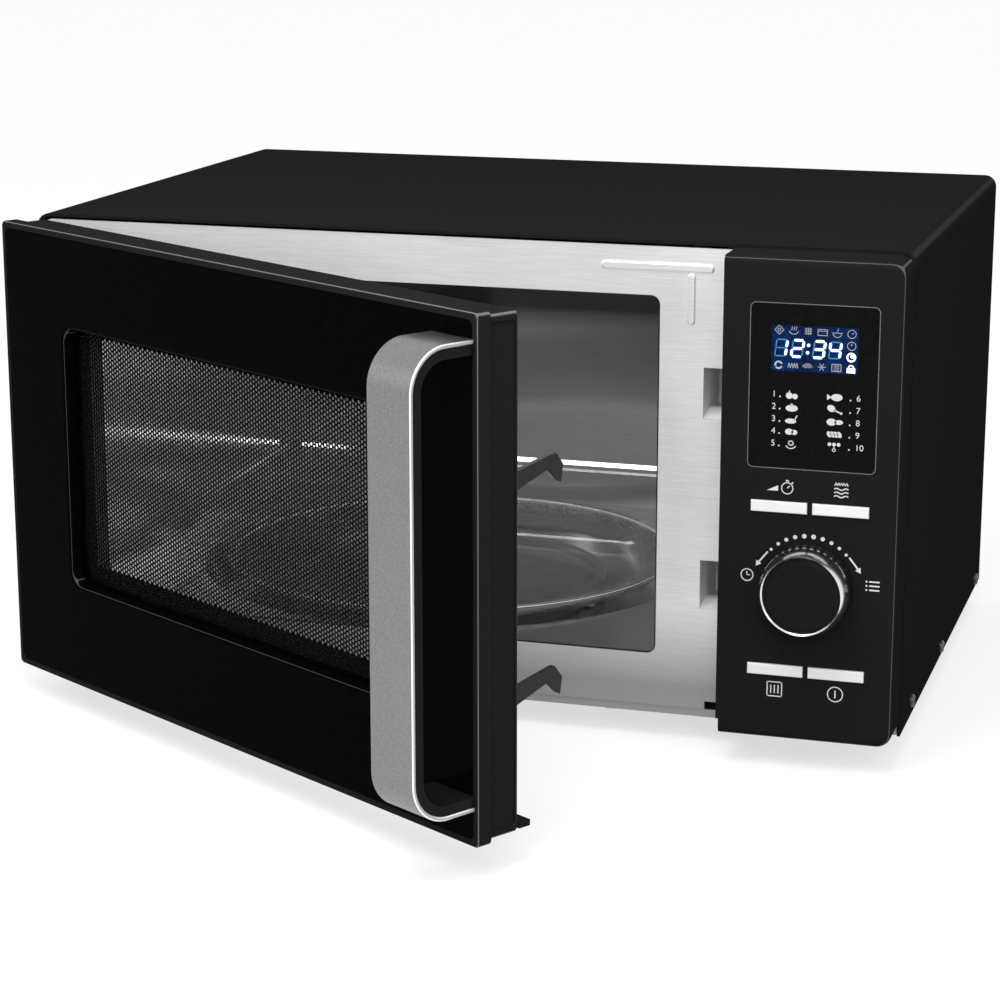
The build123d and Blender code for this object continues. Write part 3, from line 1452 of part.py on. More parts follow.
def blade_plane(turn, reach):
    """Plane square to a fan blade's span at a distance from the fan's axis, y along that axis."""
    spoke = Vector(cos(radians(turn)), 0, sin(radians(turn)))
    hub = Vector(fan_spot[0], (wheel_y0 + wheel_y1) / 2, fan_spot[1])
    return Plane(origin=hub + spoke * reach, x_dir=(0, 1, 0), z_dir=spoke)


with BuildPart() as fan_wheel:
    with BuildSketch(facing(wheel_y1)):
        with Locations(fan_spot):
            Circle(fan_hub_r)
    extrude(amount=fan_d)
    fillet(fan_wheel.faces().sort_by(Axis.Y)[-1].edges(), edge_round)
    with BuildSketch(facing(wheel_y0)):
        with Locations(fan_spot):
            Circle(fan_shaft_r)
    extrude(amount=wheel_y0 - shaft_y0)
    for n in range(fan_blades_n):
        turn = n * 360 / fan_blades_n
        with BuildSketch(blade_plane(turn, fan_hub_r / 2)):
            Rectangle(blade_root[0], blade_t, rotation=90 - blade_root[1])
        with BuildSketch(blade_plane(turn, fan_r - tip_inset)):
            Rectangle(blade_tip[0], blade_t, rotation=90 - blade_tip[1])
        loft()
pieces["fan_wheel"] = fan_wheel

lamp_x = guide_x + socket_r
bulb_y = lamp_r - lamp_l / 2
lamp_plane = Plane(origin=(lamp_x, lamp_y, lamp_spot[1]), x_dir=(1, 0, 0), z_dir=(0, 0, 1))
lamp_axis = Axis((lamp_x, 0, lamp_spot[1]), (0, 1, 0))

with BuildPart() as oven_lamp:
    with BuildSketch(lamp_plane):
        with BuildLine():
            neck = Polyline(
                (0, lamp_l / 2),
                (lamp_r / 2, lamp_l / 2),
                (lamp_r / 2, lamp_l / 4),
                (lamp_r, bulb_y),
            )
            bulb = CenterArc((0, bulb_y), lamp_r, 0, -90)
            Line(bulb @ 1, neck @ 0)
        make_face()
    revolve(axis=lamp_axis)
pieces["oven_lamp"] = oven_lamp

with BuildPart() as lamp_holder:
    with BuildSketch(facing(lamp_y + lamp_l / 2 + socket_l)):
        with Locations((lamp_x, lamp_spot[1])):
            Circle(socket_r)
    extrude(amount=socket_l)
    with BuildSketch(facing(lamp_y + lamp_l / 2 + socket_l)):
        with Locations((lamp_x - socket_r / 2, lamp_spot[1])):
            Rectangle(socket_r, 2 * socket_r)
    extrude(amount=socket_l)
pieces["lamp_holder"] = lamp_holder

cutout_x = cav_x1 - bead_end - 2 * cutout_r

with BuildPart() as thermal_cutout:
    with BuildSketch(level(z_ceiling + sheet)):
        with Locations((cutout_x, y_turn)):
            Circle(cutout_r)
            SlotOverall(4 * cutout_r, cutout_r)
    extrude(amount=sheet)
    with BuildSketch(level(z_ceiling + 2 * sheet)):
        with Locations((cutout_x, y_turn)):
            Circle(cutout_r)
    extrude(amount=cutout_h - sheet)
pieces["thermal_cutout"] = thermal_cutout

heater_z = z_ceiling + heater_r

with BuildPart() as grill_element:
    with BuildLine() as heater_path:
        FilletPolyline(
            (heater_x[0], heater_y1, heater_z + heater_tail),
            (heater_x[0], heater_y1, heater_z),
            (heater_x[0], heater_y0, heater_z),
            (heater_x[1], heater_y0, heater_z),
            (heater_x[1], heater_y1 - 2 * heater_bend, heater_z),
            (heater_x[2], heater_y1 - 2 * heater_bend, heater_z),
            (heater_x[2], heater_y0, heater_z),
            (heater_x[3], heater_y0, heater_z),
            (heater_x[3], heater_y1, heater_z),
            (heater_x[3], heater_y1, heater_z + heater_tail),
            radius=[2 * heater_r] + 6 * [heater_bend] + [2 * heater_r],
        )
    with BuildSketch(Plane(origin=heater_path.line @ 0, z_dir=heater_path.line % 0)):
        Circle(heater_r)
    sweep(path=heater_path.line)
pieces["grill_element"] = grill_element

gland_plane = Plane(origin=(gland_spot[0], 0, gland_spot[1]), x_dir=(1, 0, 0), z_dir=(0, 0, 1))
gland_axis = Axis((gland_spot[0], 0, gland_spot[1]), (0, 1, 0))
gland_neck = gland_r - gland_flange

with BuildPart() as cord_gland:
    with BuildSketch(gland_plane):
        with BuildLine():
            Polyline(
                (gland_bore, y_back + gland_flange),
                (gland_neck, y_back + gland_flange),
                (gland_r, y_back),
                (gland_neck, y_back),
                (gland_neck, y_back - sheet),
                (gland_r, y_back - sheet),
                (gland_neck, y_back - sheet - gland_flange),
                (gland_neck, y_back + gland_flange - gland_l),
                (gland_bore, y_back + gland_flange - gland_l),
                close=True,
            )
        make_face()
    revolve(axis=gland_axis)
pieces["cord_gland"] = cord_gland

os.makedirs("parts", exist_ok=True)
for name, piece in pieces.items():
    piece.part.label = name
    export_step(piece.part, f"parts/{name}.step")
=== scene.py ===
import json
import logging
import math
from dataclasses import dataclass, field
from enum import Enum

import bmesh
import bpy
from mathutils import Matrix, Vector


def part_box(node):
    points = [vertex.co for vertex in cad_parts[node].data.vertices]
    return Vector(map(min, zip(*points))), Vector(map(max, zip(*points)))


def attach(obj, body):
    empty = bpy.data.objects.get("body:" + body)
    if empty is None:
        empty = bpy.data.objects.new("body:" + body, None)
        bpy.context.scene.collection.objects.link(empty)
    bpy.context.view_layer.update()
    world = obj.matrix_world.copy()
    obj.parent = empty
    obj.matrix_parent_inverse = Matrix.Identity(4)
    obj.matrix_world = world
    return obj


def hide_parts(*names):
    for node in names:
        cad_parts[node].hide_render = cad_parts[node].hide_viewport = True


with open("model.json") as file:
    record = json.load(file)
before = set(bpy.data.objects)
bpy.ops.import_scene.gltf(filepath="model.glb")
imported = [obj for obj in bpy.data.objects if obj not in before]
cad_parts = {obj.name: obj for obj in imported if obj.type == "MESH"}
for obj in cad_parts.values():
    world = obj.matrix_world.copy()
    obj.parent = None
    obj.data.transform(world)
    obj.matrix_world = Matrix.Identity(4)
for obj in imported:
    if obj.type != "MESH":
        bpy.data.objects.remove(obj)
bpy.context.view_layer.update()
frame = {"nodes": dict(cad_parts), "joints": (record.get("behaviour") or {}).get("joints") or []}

LOG = logging.getLogger("microwave_oven")
MM = 0.001
CORNER_STEPS = 6
WELD = 1e-6

Color = tuple[float, float, float]
Grain = tuple[float, float, float]
Spot = tuple[float, float, float]
Point = tuple[float, float]


class Segment(Enum):
    """Bars of a seven-bar numeral, as its two ends in half widths and half heights."""

    TOP = ((-1, 1), (1, 1))
    UPPER_RIGHT = ((1, 1), (1, 0))
    LOWER_RIGHT = ((1, 0), (1, -1))
    BOTTOM = ((1, -1), (-1, -1))
    LOWER_LEFT = ((-1, -1), (-1, 0))
    UPPER_LEFT = ((-1, 0), (-1, 1))
    MIDDLE = ((-1, 0), (1, 0))


class Numeral(Enum):
    """Bars that are lit in each numeral of the clock."""

    ONE = (Segment.UPPER_RIGHT, Segment.LOWER_RIGHT)
    TWO = (Segment.TOP, Segment.UPPER_RIGHT, Segment.MIDDLE, Segment.LOWER_LEFT, Segment.BOTTOM)
    THREE = (Segment.TOP, Segment.UPPER_RIGHT, Segment.MIDDLE, Segment.LOWER_RIGHT, Segment.BOTTOM)
    FOUR = (Segment.UPPER_LEFT, Segment.MIDDLE, Segment.UPPER_RIGHT, Segment.LOWER_RIGHT)


# Finishes


class Recipe:
    """Builds a material's node tree one node at a time."""

    MIX_SHARE, MIX_BASE, MIX_OVER = 0, 6, 7
    MIX_RESULT = 2

    def __init__(self, name: str) -> None:
        """Starts a material with its shader and its place on the object.

        Args:
            name: Name of the material.
        """
        self.material = bpy.data.materials.new(name)
        self.material.use_nodes = True
        self.tree = self.material.node_tree
        self.shader = self.tree.nodes["Principled BSDF"]
        coordinates = self.add("ShaderNodeTexCoord")
        self.place = coordinates.outputs["Object"]
        self.normal = coordinates.outputs["Normal"]

    def add(
        self, kind: str, inputs: dict[str | int, object] | None = None, **settings: object
    ) -> bpy.types.Node:
        """Adds one node.

        Args:
            kind: Blender's name of the node type.
            inputs: Values or sockets, by the name or number of the input they go to.
            settings: Attributes of the node.

        Returns:
            The new node.
        """
        node = self.tree.nodes.new(kind)
        for key, value in settings.items():
            setattr(node, key, value)
        for key, value in (inputs or {}).items():
            self.feed(node.inputs[key], value)
        return node

    def feed(self, socket: bpy.types.NodeSocket, value: object) -> None:
        """Links a socket to another one, or sets its value.

        Args:
            socket: The input to feed.
            value: A socket to link from, or a plain value.
        """
        if isinstance(value, bpy.types.NodeSocket):
            self.tree.links.new(value, socket)
        else:
            socket.default_value = value

    def noise(self, grain: Grain, detail: float) -> bpy.types.NodeSocket:
        """Cloudy noise on the object's own coordinates.

        Args:
            grain: Features per metre along X, Y and Z.
            detail: Octaves of finer noise.

        Returns:
            The socket with the noise, from 0 to 1.
        """
        mapping = self.add("ShaderNodeMapping", {"Vector": self.place, "Scale": grain})
        inputs = {"Vector": mapping.outputs["Vector"], "Scale": 1.0, "Detail": detail}
        return self.add("ShaderNodeTexNoise", inputs).outputs["Fac"]

    def ramp(self, value: bpy.types.NodeSocket, low: Color, high: Color, span: Point) -> bpy.types.NodeSocket:
        """Colour between two tones.

        Args:
            value: Socket that drives the colour.
            low: Tone at the lower end of the span.
            high: Tone at the upper end of the span.
            span: Part of the value's range over which the tone changes.

        Returns:
            The colour socket.
        """
        node = self.add("ShaderNodeValToRGB", {"Fac": value})
        for stop, place, tone in zip(node.color_ramp.elements, span, (low, high)):
            stop.position = place
            stop.color = (*tone, 1.0)
        return node.outputs["Color"]

    def spread(self, value: bpy.types.NodeSocket, span: Point, result: Point) -> bpy.types.NodeSocket:
        """Maps a range of a value to another range.

        Args:
            value: Socket to map.
            span: Range of the value.
            result: Range of the result.

        Returns:
            The mapped socket.
        """
        inputs = {"Value": value, "From Min": span[0], "From Max": span[1]}
        inputs |= {"To Min": result[0], "To Max": result[1]}
        return self.add("ShaderNodeMapRange", inputs).outputs["Result"]

    def share(self, value: bpy.types.NodeSocket, span: Point) -> bpy.types.NodeSocket:
        """Maps a range of a value to 0 and 1."""
        return self.spread(value, span, (0.0, 1.0))

    def math(self, operation: str, first: object, second: object) -> bpy.types.NodeSocket:
        """Works out one step of arithmetic.

        Args:
            operation: Blender's name of the step.
            first: First value or socket.
            second: Second value or socket.

        Returns:
            The socket with the result.
        """
        return self.add("ShaderNodeMath", {0: first, 1: second}, operation=operation).outputs["Value"]

    def slants(self, turn: float) -> list[bpy.types.NodeSocket]:
        """Finds how far the surface faces along each of the piece's own axes.

        Args:
            turn: How far those axes are turned to the right, in degrees.

        Returns:
            Three sockets, each 1 where the surface faces along that axis.
        """
        inputs = {"Vector": self.normal, "Angle": math.radians(turn)}
        own = self.add("ShaderNodeVectorRotate", inputs, rotation_type="Z_AXIS").outputs["Vector"]
        size = self.add("ShaderNodeVectorMath", {0: own}, operation="ABSOLUTE").outputs["Vector"]
        return list(self.add("ShaderNodeSeparateXYZ", {"Vector": size}).outputs)

    def tint(self, mask: bpy.types.NodeSocket, color: Color) -> None:
        """Lays another colour over the base colour.

        Args:
            mask: Share of the other colour.
            color: The other colour.
        """
        base = self.shader.inputs["Base Color"]
        mix = self.add("ShaderNodeMix", data_type="RGBA")
        self.feed(mix.inputs[self.MIX_SHARE], mask)
        self.feed(mix.inputs[self.MIX_BASE], base.links[0].from_socket)
        self.feed(mix.inputs[self.MIX_OVER], (*color, 1.0))
        self.feed(base, mix.outputs[self.MIX_RESULT])

    def relief(self, height: bpy.types.NodeSocket, depth: float, strength: float) -> None:
        """Gives the surface a fine relief.

        Args:
            height: Socket with the height.
            depth: Depth of the relief in millimetres.
            strength: Share of the relief that shows.
        """
        bump = self.add("ShaderNodeBump", {"Height": height, "Distance": depth * MM, "Strength": strength})
        self.feed(self.shader.inputs["Normal"], bump.outputs["Normal"])


@dataclass(frozen=True)
class Finish:
    """A finish with a fine grain in its tone, its gloss and its relief."""

    name: str
    dark: Color
    light: Color
    grain: Grain = (900.0, 900.0, 900.0)
    detail: float = 2.0
    rough: Point = (0.4, 0.5)
    relief_mm: float = 0.02
    relief_strength: float = 0.2
    metal: float = 0.0
    specular: float = 0.5
    clear: float = 0.0
    bend: float = 1.5
    cover: float = 1.0
    glow: float = 0.0

    CLOUD = (24.0, 24.0, 24.0)
    CLOUD_DETAIL = 2.0
    SPAN = (0.3, 0.7)

    def build(self) -> bpy.types.Material:
        """Makes the material.

        Returns:
            The finished material.
        """
        recipe = Recipe(self.name)
        grain = recipe.noise(self.grain, self.detail)
        cloud = recipe.noise(self.CLOUD, self.CLOUD_DETAIL)
        inputs = recipe.shader.inputs
        tone = recipe.ramp(grain, self.dark, self.light, self.SPAN)
        recipe.feed(inputs["Base Color"], tone)
        recipe.feed(inputs["Roughness"], recipe.spread(cloud, self.SPAN, self.rough))
        recipe.relief(grain, self.relief_mm, self.relief_strength)
        inputs["Metallic"].default_value = self.metal
        inputs["Specular IOR Level"].default_value = self.specular
        inputs["Transmission Weight"].default_value = self.clear
        inputs["IOR"].default_value = self.bend
        inputs["Alpha"].default_value = self.cover
        inputs["Emission Strength"].default_value = self.glow
        if self.glow:
            recipe.feed(inputs["Emission Color"], tone)
        if self.cover < 1.0:
            recipe.material.surface_render_method = "BLENDED"
        self.detail_of(recipe)
        return recipe.material

    def detail_of(self, recipe: Recipe) -> None:
        """Adds what only this finish has; a plain finish has nothing more."""


@dataclass(frozen=True)
class Lit(Finish):
    """A part of the display that gives light."""

    grain: Grain = (300.0, 300.0, 300.0)
    detail: float = 3.0
    specular: float = 0.05
    glow: float = 1.0


@dataclass(frozen=True)
class Pane(Finish):
    """A thin clear sheet that hides a share of what is behind it."""

    grain: Grain = (90.0, 90.0, 90.0)
    detail: float = 3.0
    rough: Point = (0.02, 0.05)


@dataclass(frozen=True)
class Edged(Finish):
    """A dark finish with a painted highlight along its rounded edges."""

    # edge is the tone of the painted highlight, width the span of the edge mask that places it.
    edge: float = 0.1
    turn: float = 0.0
    width: Point = (0.9, 0.78)

    def detail_of(self, recipe: Recipe) -> None:
        """Paints a highlight on the edges, which face along none of the piece's own axes.

        Args:
            recipe: The node tree to add to.
        """
        across, back, up = recipe.slants(self.turn)
        most = recipe.math("MAXIMUM", recipe.math("MAXIMUM", across, back), up)
        recipe.tint(recipe.share(most, self.width), grey(self.edge))


@dataclass(frozen=True)
class Shaded(Finish):
    """Brushed metal with painted shade: its tone falls towards one end of its height."""

    # end is the tone of the painted shade, fall the heights over which it sets in, share its full strength.
    end: float = 0.2
    fall: Point = (0.075, 0.03)
    share: float = 0.85

    def detail_of(self, recipe: Recipe) -> None:
        """Paints shade onto the metal towards that end.

        Args:
            recipe: The node tree to add to.
        """
        height = recipe.add("ShaderNodeSeparateXYZ", {"Vector": recipe.place}).outputs["Z"]
        recipe.tint(recipe.spread(height, self.fall, (0.0, self.share)), grey(self.end))


@dataclass(frozen=True)
class BrightSided(Finish):
    """A metal band with painted highlights on its cut sides, brightest along their chamfers."""

    side: float = 0.4
    chamfer: float = 0.97
    turn: float = 0.0

    CHAMFER_SLANT = (0.2, 0.5)
    SIDE_SLANT = (0.85, 0.97)

    def detail_of(self, recipe: Recipe) -> None:
        """Paints highlights on what faces sideways.

        Args:
            recipe: The node tree to add to.
        """
        across = recipe.slants(self.turn)[0]
        # Painted highlights: the chamfers are tinted near white and the flat cut sides a lighter grey.
        recipe.tint(recipe.share(across, self.CHAMFER_SLANT), grey(self.chamfer))
        recipe.tint(recipe.share(across, self.SIDE_SLANT), grey(self.side))


@dataclass(frozen=True)
class StippledGlass(Finish):
    """Clear pressed glass with a stippled band outside a radius and a painted highlight along its lip."""

    centre: Spot = (0.0, 0.0, 0.0)
    inner: float = 0.1
    outer: float = 0.12
    dots: float = 1100.0
    band_cover: float = 0.5
    speck: float = 0.8
    # edge is the tone of the painted highlight along the lip; the cover beside it is how far that highlight
    # hides the glass.
    edge: float = 0.95
    edge_cover: float = 0.85

    SPECK_SPAN = (0.45, 0.2)
    LIP_SLANTS = ((0.25, 0.4), (0.75, 0.6))
    STIPPLE_MM = 0.5
    STIPPLE_STRENGTH = 0.8

    def detail_of(self, recipe: Recipe) -> None:
        """Presses the stipple into the band and paints a highlight along its lip.

        Args:
            recipe: The node tree to add to.
        """
        shift = tuple(-part for part in self.centre)
        flat = recipe.add("ShaderNodeMapping", {"Vector": recipe.place, "Location": shift})
        inputs = {0: flat.outputs["Vector"], 1: (1.0, 1.0, 0.0)}
        flat = recipe.add("ShaderNodeVectorMath", inputs, operation="MULTIPLY")
        reach = recipe.add("ShaderNodeVectorMath", {0: flat.outputs["Vector"]}, operation="LENGTH")
        band = recipe.share(reach.outputs["Value"], (self.inner, self.outer))
        dots = recipe.add("ShaderNodeTexVoronoi", {"Vector": recipe.place, "Scale": self.dots})
        dots = dots.outputs["Distance"]
        recipe.relief(recipe.math("MULTIPLY", band, dots), self.STIPPLE_MM, self.STIPPLE_STRENGTH)
        specks = recipe.share(dots, self.SPECK_SPAN)
        recipe.tint(recipe.math("MULTIPLY", band, specks), grey(self.speck))
        recipe.feed(recipe.shader.inputs["Roughness"], recipe.spread(band, (0.0, 1.0), self.rough))
        # Painted highlight: where the band's surface turns between level and upright, the lip is tinted
        # bright and made less clear.
        up = recipe.slants(0.0)[2]
        bend = recipe.math("MULTIPLY", *(recipe.share(up, slant) for slant in self.LIP_SLANTS))
        line = recipe.math("MULTIPLY", bend, band)
        recipe.tint(line, grey(self.edge))
        cover = recipe.spread(band, (0.0, 1.0), (self.cover, self.band_cover))
        cover = recipe.math("MAXIMUM", cover, recipe.math("MULTIPLY", line, self.edge_cover))
        recipe.feed(recipe.shader.inputs["Alpha"], cover)


@dataclass(frozen=True)
class Laminated(Finish):
    """A stack of thin sheets, seen as fine lines along one axis."""

    pitch: float = 900.0
    axis: str = "X"

    GROOVE_MM = 0.2
    GROOVE_STRENGTH = 0.5

    def detail_of(self, recipe: Recipe) -> None:
        """Cuts the lines between the sheets.

        Args:
            recipe: The node tree to add to.
        """
        inputs = {"Vector": recipe.place, "Scale": self.pitch}
        lines = recipe.add("ShaderNodeTexWave", inputs, bands_direction=self.axis)
        recipe.relief(lines.outputs["Fac"], self.GROOVE_MM, self.GROOVE_STRENGTH)


def grey(tone: float) -> Color:
    """A neutral colour of that tone."""
    return (tone, tone, tone)


def even(grain: float) -> Grain:
    """Features per metre of a grain without a direction."""
    return (grain, grain, grain)


def stroke(grain_along: str) -> Grain:
    """Features per metre of brushed metal whose strokes run along an axis.

    Args:
        grain_along: X, Y or Z.

    Returns:
        Features per metre along X, Y and Z.
    """
    along, across = 60.0, 2600.0
    return tuple(along if axis == grain_along else across for axis in "XYZ")


# Surfaces and shapes


@dataclass(frozen=True)
class Face:
    """A flat place on the object with its own millimetres: across, up and out of the surface."""

    origin: Vector
    across: Vector
    up: Vector
    out: Vector

    def matrix(self) -> Matrix:
        """Turns millimetres on this face into places in the frame.

        Returns:
            The matrix from the face to the frame.
        """
        columns = [axis * MM for axis in (self.across, self.up, self.out)]
        rows = [[*(column[n] for column in columns), self.origin[n]] for n in range(3)]
        return Matrix([*rows, [0.0, 0.0, 0.0, 1.0]])


def piece(name: str, mesh: bmesh.types.BMesh, body: str, *finishes: bpy.types.Material) -> bpy.types.Object:
    """Makes an object of a finished mesh and lets it ride on a body.

    Args:
        name: Name of the piece.
        mesh: The mesh, in the frame's metres; it is freed.
        body: Body that it moves with.
        finishes: Finishes of the piece, in the order of its faces' numbers.

    Returns:
        The new object.
    """
    data = bpy.data.meshes.new(name)
    mesh.to_mesh(data)
    mesh.free()
    for finish in finishes:
        data.materials.append(finish)
    made = bpy.data.objects.new(name, data)
    bpy.context.scene.collection.objects.link(made)
    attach(made, body)
    LOG.info("%s: %d faces on %s", name, len(data.polygons), body)
    return made


def only(kind: type, made: list[object]) -> list[object]:
    """Picks the corners or the edges of what a step made."""
    return [part for part in made if isinstance(part, kind)]


def move(mesh: bmesh.types.BMesh, matrix: Matrix) -> None:
    """Moves a whole mesh."""
    bmesh.ops.transform(mesh, matrix=matrix, verts=mesh.verts[:])


def join(whole: bmesh.types.BMesh, part: bmesh.types.BMesh) -> None:
    """Adds one mesh to another and frees it."""
    data = bpy.data.meshes.new("part")
    part.to_mesh(data)
    part.free()
    whole.from_mesh(data)
    bpy.data.meshes.remove(data)


def thicken(mesh: bmesh.types.BMesh, depth: float) -> None:
    """Gives a flat sheet its thickness.

    Args:
        mesh: Flat sheet at height zero.
        depth: Thickness, added above the sheet, or below it if negative.
    """
    made = bmesh.ops.extrude_face_region(mesh, geom=mesh.faces[:])["geom"]
    bmesh.ops.translate(mesh, verts=only(bmesh.types.BMVert, made), vec=(0.0, 0.0, depth))
    bmesh.ops.recalc_face_normals(mesh, faces=mesh.faces[:])


def links(verts: list[bmesh.types.BMVert]) -> list[bmesh.types.BMEdge]:
    """Edges that end at any of these corners."""
    return list({edge for vert in verts for edge in vert.link_edges})


class Stencil:
    """Flat marks drawn in millimetres on a face, made into one thin piece."""

    SIDES = 24
    WAVE_STEPS = 16
    WAVE_TURNS = 1.5
    CAP_SHARE = 0.7
    BAR_GAP = 0.6
    BAR_TIP = 0.3
    WELD = 1e-5

    def __init__(self) -> None:
        """Starts with a bare sheet."""
        self.mesh = bmesh.new()

    def disc(self, spot: Point, radius: float, squash: float = 1.0, turn: float = 0.0) -> None:
        """Draws a filled disc or oval.

        Args:
            spot: Its middle.
            radius: Half its width.
            squash: Height as a share of the width.
            turn: Turn to the left, in degrees.
        """
        place = Matrix.Translation((*spot, 0.0)) @ Matrix.Rotation(math.radians(turn), 4, "Z")
        place = place @ Matrix.Diagonal((1.0, squash, 1.0, 1.0))
        bmesh.ops.create_circle(self.mesh, cap_ends=True, radius=radius, segments=self.SIDES, matrix=place)

    def ring(self, spot: Point, radius: float, width: float) -> None:
        """Draws a ring.

        Args:
            spot: Its middle.
            radius: Middle radius of the line.
            width: Width of the line.
        """
        self.arc(spot, radius, width, 0.0, 360.0)

    def arc(self, spot: Point, radius: float, width: float, begin: float, end: float) -> None:
        """Draws part of a ring.

        Args:
            spot: Its middle.
            radius: Middle radius of the line.
            width: Width of the line.
            begin: First angle in degrees, from the right to the left.
            end: Last angle.
        """
        angle = math.radians(begin)
        aim = Vector((math.cos(angle), math.sin(angle), 0.0))
        middle = Vector((*spot, 0.0))
        ends = [self.mesh.verts.new(middle + aim * (radius + side * width / 2)) for side in (-1, 1)]
        edge = self.mesh.edges.new(ends)
        steps = max(3, round(self.SIDES * abs(end - begin) / 360.0))
        bmesh.ops.spin(
            self.mesh,
            geom=[*ends, edge],
            cent=middle,
            axis=(0.0, 0.0, 1.0),
            angle=math.radians(end - begin),
            steps=steps,
            use_merge=abs(end - begin) >= 360.0,
        )

    def bar(self, start: Point, stop: Point, width: float) -> None:
        """Draws a straight line with square ends.

        Args:
            start: First end.
            stop: Last end.
            width: Width of the line.
        """
        run = Vector(stop) - Vector(start)
        middle = (Vector(start) + Vector(stop)) / 2
        place = Matrix.Translation((*middle, 0.0)) @ Matrix.Rotation(math.atan2(run.y, run.x), 4, "Z")
        place = place @ Matrix.Diagonal((run.length, width, 1.0, 1.0))
        bmesh.ops.create_grid(self.mesh, x_segments=1, y_segments=1, size=0.5, matrix=place)

    def line(self, points: list[Point], width: float) -> None:
        """Draws a bent line.

        Args:
            points: Corners of the line.
            width: Width of the line.
        """
        for start, stop in zip(points, points[1:]):
            self.bar(start, stop, width)

    def patch(self, points: list[Point]) -> None:
        """Draws a filled outline.

        Args:
            points: Corners of the outline.
        """
        self.mesh.faces.new([self.mesh.verts.new((*point, 0.0)) for point in points])

    def wave(self, spot: Point, length: float, rise: float, width: float) -> None:
        """Draws a wavy line.

        Args:
            spot: Its middle.
            length: Its length.
            rise: Height of its waves from the middle.
            width: Width of the line.
        """
        points = []
        for step in range(self.WAVE_STEPS + 1):
            share = step / self.WAVE_STEPS
            lift = rise * math.sin(self.WAVE_TURNS * 2 * math.pi * share)
            points.append((spot[0] + length * (share - 0.5), spot[1] + lift))
        self.line(points, width)

    def square(self, spot: Point, size: Point, width: float) -> None:
        """Draws the outline of a rectangle.

        Args:
            spot: Its middle.
            size: Its width and height, at the middle of the line.
            width: Width of the line.
        """
        half_w, half_h = size[0] / 2, size[1] / 2
        corners = [(-half_w, -half_h), (half_w, -half_h), (half_w, half_h), (-half_w, half_h)]
        corners = [(spot[0] + x, spot[1] + y) for x, y in corners]
        for start, stop in zip(corners, corners[1:] + corners[:1]):
            aim = (Vector(stop) - Vector(start)).normalized() * width / 2
            self.bar(tuple(Vector(start) - aim), tuple(Vector(stop) + aim), width)

    def number(self, text: str, spot: Point, height: float) -> None:
        """Prints a plain number.

        Args:
            text: The number.
            spot: Its middle.
            height: Height of its numerals.
        """
        curve = bpy.data.curves.new("number", "FONT")
        curve.body = text
        curve.size = height / self.CAP_SHARE
        curve.align_x = "CENTER"
        curve.align_y = "CENTER"
        letter = bpy.data.objects.new("number", curve)
        flat = bpy.data.meshes.new_from_object(letter)
        before = set(self.mesh.verts)
        self.mesh.from_mesh(flat)
        fresh = [vert for vert in self.mesh.verts if vert not in before]
        bmesh.ops.translate(self.mesh, verts=fresh, vec=(*spot, 0.0))
        bpy.data.objects.remove(letter)
        bpy.data.meshes.remove(flat)

    def numeral_bar(self, segment: Segment, spot: Point, half: Point, width: float, lean: float) -> None:
        """Draws one bar of a seven-bar numeral, with pointed ends.

        Args:
            segment: Which bar.
            spot: Middle of the numeral.
            half: Half the numeral's width and height, at the middle of its bars.
            width: Width of the bar.
            lean: How far the numeral leans to the right, in degrees.
        """
        start, stop = [Vector((x * half[0], y * half[1])) for x, y in segment.value]
        run = (stop - start).normalized()
        side = Vector((-run.y, run.x)) * width / 2
        gap = run * width * self.BAR_GAP
        tip = run * width * self.BAR_TIP
        start, stop = start + gap, stop - gap
        points = [start - tip, start + side, stop + side, stop + tip, stop - side, start - side]
        slope = math.tan(math.radians(lean))
        self.patch([(spot[0] + p.x + p.y * slope, spot[1] + p.y) for p in points])

    def place(
        self, name: str, face: Face, lift: float, depth: float, material: bpy.types.Material, body: str
    ) -> bpy.types.Object:
        """Makes the drawing a thin piece on a face.

        Args:
            name: Name of the piece.
            face: The face that it is drawn on.
            lift: Height of its underside over the face.
            depth: Its thickness.
            material: Its finish.
            body: Body that it moves with.

        Returns:
            The new object.
        """
        bmesh.ops.remove_doubles(self.mesh, verts=self.mesh.verts[:], dist=self.WELD)
        thicken(self.mesh, depth)
        shift = Matrix.Translation((0.0, 0.0, lift))
        move(self.mesh, face.matrix() @ shift)
        return piece(name, self.mesh, body, material)


def front_axes() -> tuple[Vector, Vector, Vector]:
    """Across, up and out of a face that looks to the front."""
    return Vector((1, 0, 0)), Vector((0, 0, 1)), Vector((0, -1, 0))


def plate(size: Point, corner: float) -> bmesh.types.BMesh:
    """A flat sheet with rounded corners, in millimetres round its middle.

    Args:
        size: Width and height.
        corner: Corner radius.

    Returns:
        The sheet's mesh.
    """
    mesh = bmesh.new()
    spread = Matrix.Diagonal((*size, 1.0, 1.0))
    bmesh.ops.create_grid(mesh, x_segments=1, y_segments=1, size=0.5, matrix=spread)
    bmesh.ops.bevel(
        mesh,
        geom=mesh.verts[:],
        offset=corner,
        segments=CORNER_STEPS,
        profile=0.5,
        affect="VERTICES",
        material=-1,
    )
    return mesh


def hollow(mesh: bmesh.types.BMesh, width: float) -> None:
    """Leaves only a rim of a flat sheet.

    Args:
        mesh: The sheet, of one face.
        width: Width of the rim.
    """
    inner = mesh.faces[:]
    bmesh.ops.inset_region(mesh, faces=inner, thickness=width, use_boundary=True, use_even_offset=True)
    bmesh.ops.delete(mesh, geom=inner, context="FACES")


def cut(mesh: bmesh.types.BMesh, point: Vector, normal: Vector) -> None:
    """Cuts a mesh along a plane and keeps both sides.

    Args:
        mesh: The mesh to cut.
        point: A point on the plane.
        normal: The plane's normal.
    """
    geom = [*mesh.verts, *mesh.edges, *mesh.faces]
    bmesh.ops.bisect_plane(mesh, geom=geom, plane_co=point, plane_no=normal)


